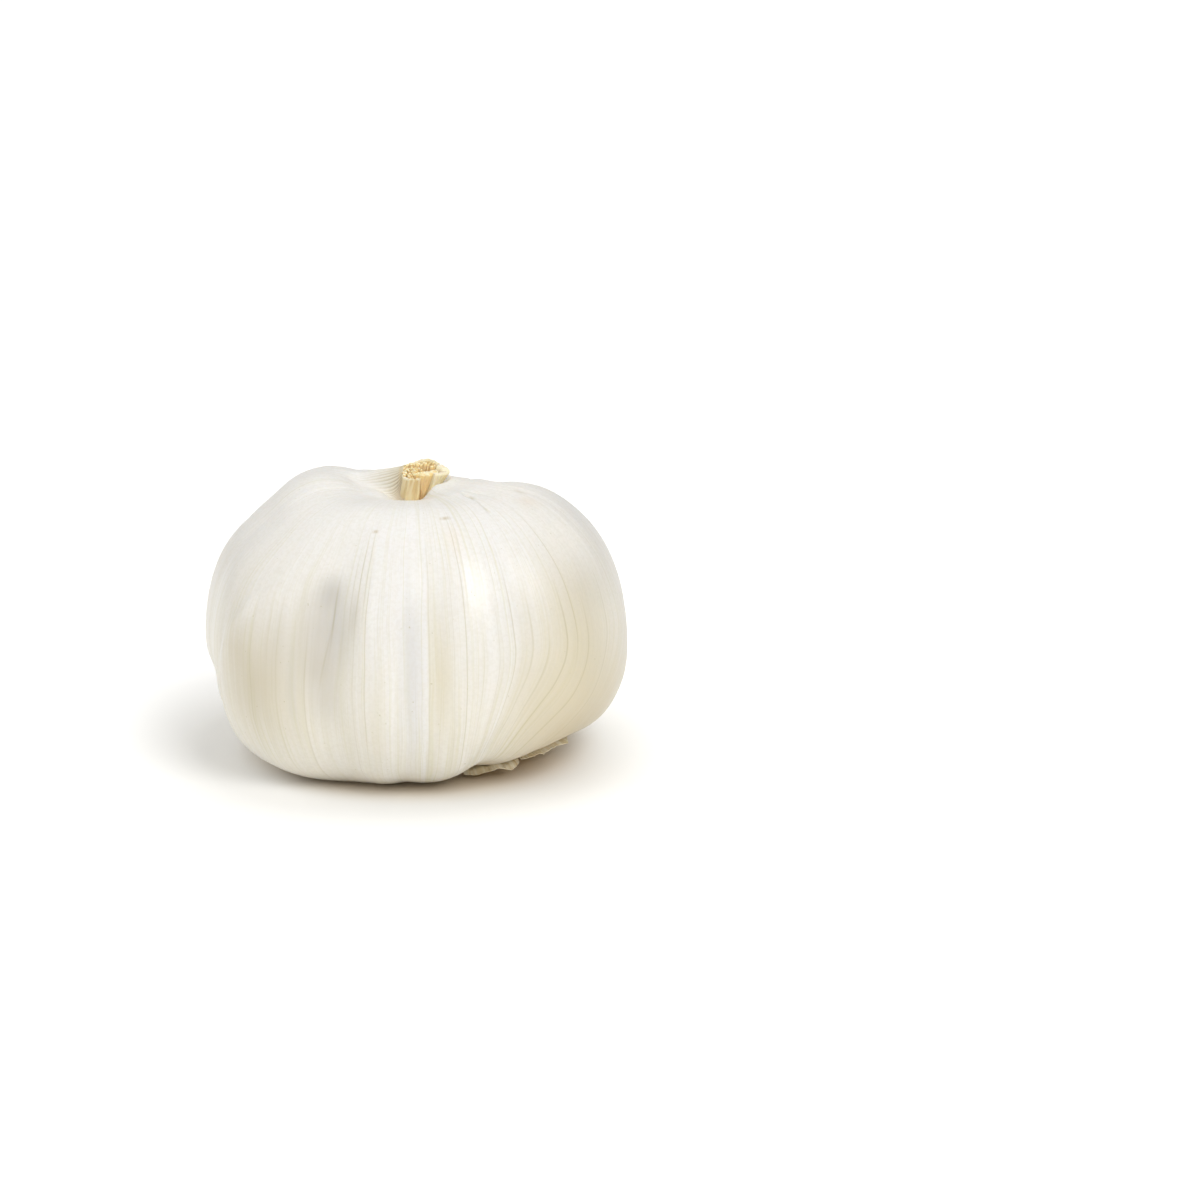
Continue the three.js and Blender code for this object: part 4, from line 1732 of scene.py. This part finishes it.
@dataclass
class Studio:
    """The pale floor, the soft lights and the camera."""

    floor_size: float = 8.0
    elevation: float = 16.0  # degrees: how far the camera looks down
    lens: float = 100.0
    sensor: float = 36.0
    picture: float = 1200.0  # pixels on a side
    scale: float = 6.8  # pixels to a mm at the root plate
    aside: float = 182.0  # pixels that the bulb stands left of the middle
    below: float = 145.0  # pixels that its foot stands below the middle
    backdrop: float = 1.15  # the strength of the sky where the camera sees it

    def floor(self) -> None:
        """Lays the floor: a pale sheet, lit from below except under the bulb."""
        free_hands()
        bpy.ops.mesh.primitive_plane_add(size=self.floor_size, location=(0, 0, 0))
        floor = active()
        floor.name = "studio_floor"
        s = Shader("studio_floor")
        mottle = s.noise(s.place(), 30.0, 2.0)
        colour = s.blend(mottle * 0.5, shade(246, 246, 245), shade(241, 240, 238))
        across, deep, _ = s.parts(s.place())
        away = (across * across + deep * deep) ** 0.5
        # Painted shade: a warm brown patch on the floor under the bulb.
        colour = s.blend(away.ease(0.028, 0.017) * 0.6, colour, shade(218, 190, 146))
        # Painted light: extra glow in a ring beside the bulb's left foot that lifts the shadow
        # there.
        shadow_lift = across.ease(-0.01, -0.022) * away.near(0.0265, 0.006) * 0.3
        right = across.ease(0.02, 0.07)
        across, deep = across + 0.004, deep + 0.002
        seen = s.node("ShaderNodeLightPath", None, None, "Is Camera Ray")
        held = right * (1.0 - seen) * 0.85
        lit = ((across * across + deep * deep) ** 0.5).ease(0.021, 0.05) * (1.0 - held)
        lit = lit + shadow_lift
        glow = s.blend(lit, shade(0, 0, 0), shade(255, 255, 255))
        floor.data.materials.append(s.finish(
            base_color=colour, roughness=0.85, emission_color=glow, emission_strength=0.3))

    def light(
        self, name: str, place: tuple[float, float, float], size: float, watts: float,
        colour: tuple[float, float, float],
    ) -> None:
        """Hangs one softbox that faces the bulb.

        Args:
            name: its name.
            place: where it hangs, in metres.
            size: its side, in metres.
            watts: its power.
            colour: the colour of its light.
        """
        free_hands()
        bpy.ops.object.light_add(type="AREA", location=place)
        lamp = active()
        lamp.name = name
        lamp.data.shape = "SQUARE"
        lamp.data.size = size
        lamp.data.energy = watts
        lamp.data.color = colour
        aim = Vector((0, 0, 0.02)) - Vector(place)
        lamp.rotation_euler = aim.to_track_quat("-Z", "Y").to_euler()

    def sky(self, horizon: float, zenith: float, right_shade: float) -> None:
        """Fills the room with soft light, brighter and cooler overhead, warm at the right.

        Args:
            horizon: the strength at eye level.
            zenith: the strength overhead.
            right_shade: how much of it is held back low at the right.
        """
        world = bpy.data.worlds.new("studio")
        bpy.context.scene.world = world
        world.use_nodes = True
        tree = world.node_tree

        def node(kind: str, **settings: object) -> bpy.types.Node:
            """Adds one node to the sky."""
            made = tree.nodes.new(kind)
            for name, value in settings.items():
                setattr(made, name, value)
            return made

        split = node("ShaderNodeSeparateXYZ")
        tree.links.new(node("ShaderNodeTexCoord").outputs["Generated"], split.inputs[0])
        rise = node("ShaderNodeMapRange")
        tree.links.new(split.outputs["Z"], rise.inputs["Value"])
        rise.inputs["To Min"].default_value = horizon
        rise.inputs["To Max"].default_value = zenith
        low = node("ShaderNodeMath", operation="SUBTRACT", use_clamp=True)
        low.inputs[0].default_value = 1.0
        tree.links.new(split.outputs["Z"], low.inputs[1])
        low_right = node("ShaderNodeMath", operation="MULTIPLY", use_clamp=True)
        tree.links.new(split.outputs["X"], low_right.inputs[0])
        tree.links.new(low.outputs[0], low_right.inputs[1])
        held = node("ShaderNodeMapRange")
        tree.links.new(low_right.outputs[0], held.inputs["Value"])
        held.inputs["From Max"].default_value = 0.5
        held.inputs["To Min"].default_value = 1.0
        held.inputs["To Max"].default_value = 1.0 - right_shade
        strength = node("ShaderNodeMath", operation="MULTIPLY")
        tree.links.new(rise.outputs[0], strength.inputs[0])
        tree.links.new(held.outputs[0], strength.inputs[1])
        seen = node("ShaderNodeMix")
        tree.links.new(node("ShaderNodeLightPath").outputs["Is Camera Ray"], seen.inputs[0])
        tree.links.new(strength.outputs[0], seen.inputs[2])
        seen.inputs[3].default_value = self.backdrop
        tint = node("ShaderNodeMix", data_type="RGBA")
        tree.links.new(split.outputs["Z"], tint.inputs[0])
        tint.inputs[6].default_value = (1.0, 0.985, 0.955, 1)
        tint.inputs[7].default_value = (1.0, 0.998, 0.99, 1)
        warm = node("ShaderNodeMix", data_type="RGBA")
        tree.links.new(low_right.outputs[0], warm.inputs[0])
        tree.links.new(tint.outputs[2], warm.inputs[6])
        warm.inputs[7].default_value = (1.0, 0.94, 0.83, 1)
        background = tree.nodes["Background"]
        tree.links.new(seen.outputs[0], background.inputs["Strength"])
        tree.links.new(warm.outputs[2], background.inputs["Color"])

    def camera(self) -> None:
        """Stands the camera in front, above the table."""
        tilt = math.radians(self.elevation)
        pixels = self.picture * self.lens / self.sensor
        distance = pixels / self.scale
        forward = Vector((0, math.cos(tilt), -math.sin(tilt)))
        upwards = Vector((0, math.sin(tilt), math.cos(tilt)))
        place = Vector((*AXIS, 0)) - forward * distance + upwards * (self.below / self.scale)
        place.x += self.aside / self.scale
        free_hands()
        bpy.ops.object.camera_add(
            location=place * MM, rotation=(math.radians(90 - self.elevation), 0, 0))
        camera = active()
        camera.name = "studio_camera"
        camera.data.lens = self.lens
        camera.data.sensor_width = self.sensor
        camera.data.clip_start = 0.01
        camera.data.clip_end = 20
        bpy.context.scene.camera = camera

    def build(self) -> None:
        """Sets up the studio."""
        bpy.context.scene.view_settings.view_transform = "Standard"
        self.floor()
        self.sky(0.55, 0.86, 0.85)
        self.light("top_softbox", (-0.1, 0.8, 2.4), 2.2, 4, (1.0, 1.0, 1.0))
        self.light("key_softbox", (1.25, -1.5, 1.8), 1.4, 35, (1.0, 0.995, 0.985))
        self.camera()


def main() -> None:
    """Builds the bulb, piece by piece."""
    logging.basicConfig(level=logging.INFO, format="%(name)s: %(message)s")
    Studio().build()
    shape = BulbShape()
    skin = PaperSkin().make()
    BulbBody(shape, skin).build()
    Sheath(
        "back_sheath_stump", "back_sheath",
        LeafSheath("back_sheath", shade(236, 220, 180), shade(214, 188, 136)).make(),
        Wall(
            foot=((2.0, 1.1), (1.0, 1.9), (-0.4, 1.95), (-1.4, 1.15), (-1.68, 0.0), (-1.55, -1.1)),
            rim=((3.7, 1.8, 42.15), (2.9, 2.1, 42.55), (1.9, 2.25, 42.75), (0.8, 2.2, 42.6),
                 (-0.3, 1.9, 42.2), (-1.15, 1.3, 41.75), (-1.55, 0.4, 41.35),
                 (-1.65, -0.5, 41.05), (-1.55, -1.1, 40.85)),
            thickness=(0.45, 0.26), seed=1, ragged=0.07)).build()
    Sheath(
        "front_sheath_stump", "front_sheath",
        LeafSheath("front_sheath", shade(238, 220, 180), shade(222, 196, 144)).make(),
        Wall(
            foot=((-2.15, -0.95), (-1.25, -1.7), (-0.1, -2.0), (0.75, -1.95)),
            rim=((-1.5, -1.3, 40.8), (-0.75, -1.8, 40.75), (0.1, -2.0, 40.7),
                 (0.7, -2.0, 40.75), (1.1, -1.85, 40.85)),
            thickness=(0.4, 0.34), seed=2, ribs=4.0, rib_depth=0.02, ragged=0.16,
            folds=((0, 0), (0.27, -0.06), (0.3, 0.12), (0.35, 0.04), (0.7, -0.05), (0.8, 0.14),
                   (0.95, 0.12), (1, 0)))).build()
    Sheath(
        "right_sheath_stump", "right_sheath",
        LeafSheath("right_sheath", shade(242, 230, 196), shade(230, 214, 172)).make(),
        Wall(
            foot=((1.95, -1.4), (2.15, -1.0), (2.3, -0.4), (2.3, 0.3), (2.05, 1.0)),
            rim=((3.15, -1.5, 41.35), (4.1, -1.25, 41.3), (4.95, -0.7, 41.3), (5.3, 0.0, 41.4),
                 (4.95, 0.9, 41.7), (3.95, 1.6, 42.1)),
            thickness=(0.4, 1.15), seed=6, rib_depth=0.03, ragged=0.05)).build()
    NeckCore(
        StalkFibre().make(),
        Wall(
            foot=((-0.4, -0.75), (0.4, -0.95), (1.2, -0.9), (1.9, -0.4)),
            rim=((0.1, -0.55, 41.2), (1.3, -0.7, 41.2), (2.5, -0.65, 41.25), (3.6, -0.3, 41.4)),
            thickness=(1.2, 1.6), seed=4, ribs=6.0, ragged=0.08)).build()
    RootPlate(CorkyRoot().make()).build()
    torn = TornSkin().make()
    SkinFlake(
        "torn_skin_front", "skin_flake_front", torn, angle=312,
        left=((0, -1.2), (2.4, -3.0), (4.7, -4.6)), right=((0, 1.2), (5.0, 1.5), (9.6, 1.7)),
        hem=((0, 0), (0.12, 1.1), (0.26, 1.7), (0.5, 1.45), (0.76, 1.85), (1, 0)),
        hem_heights=((0, 0.3), (0.12, 0.7), (0.26, 1.3), (0.5, 1.4), (0.72, 1.4), (1, 2.5)),
        seed=8).build()
    SkinFlake(
        "torn_skin_side", "skin_flake_side", torn, angle=335,
        left=((0, -1.3), (4.2, -3.6), (8.5, -6.0)), right=((0, 1.3), (6.0, 2.8), (11.2, 4.1)),
        hem=((0, 0), (0.28, 0.15), (0.37, 0.2), (0.4, 0.75), (0.64, 0.5), (0.77, 0.4),
             (0.91, 0.65), (1, 0)),
        hem_heights=((0, 2.2), (0.28, 2.2), (0.37, 2.4), (0.4, 2.2), (0.64, 2.4), (0.77, 2.4),
                     (0.91, 2.6), (1, 3.2)),
        seed=9).build()


if __name__ == "__main__":
    main()
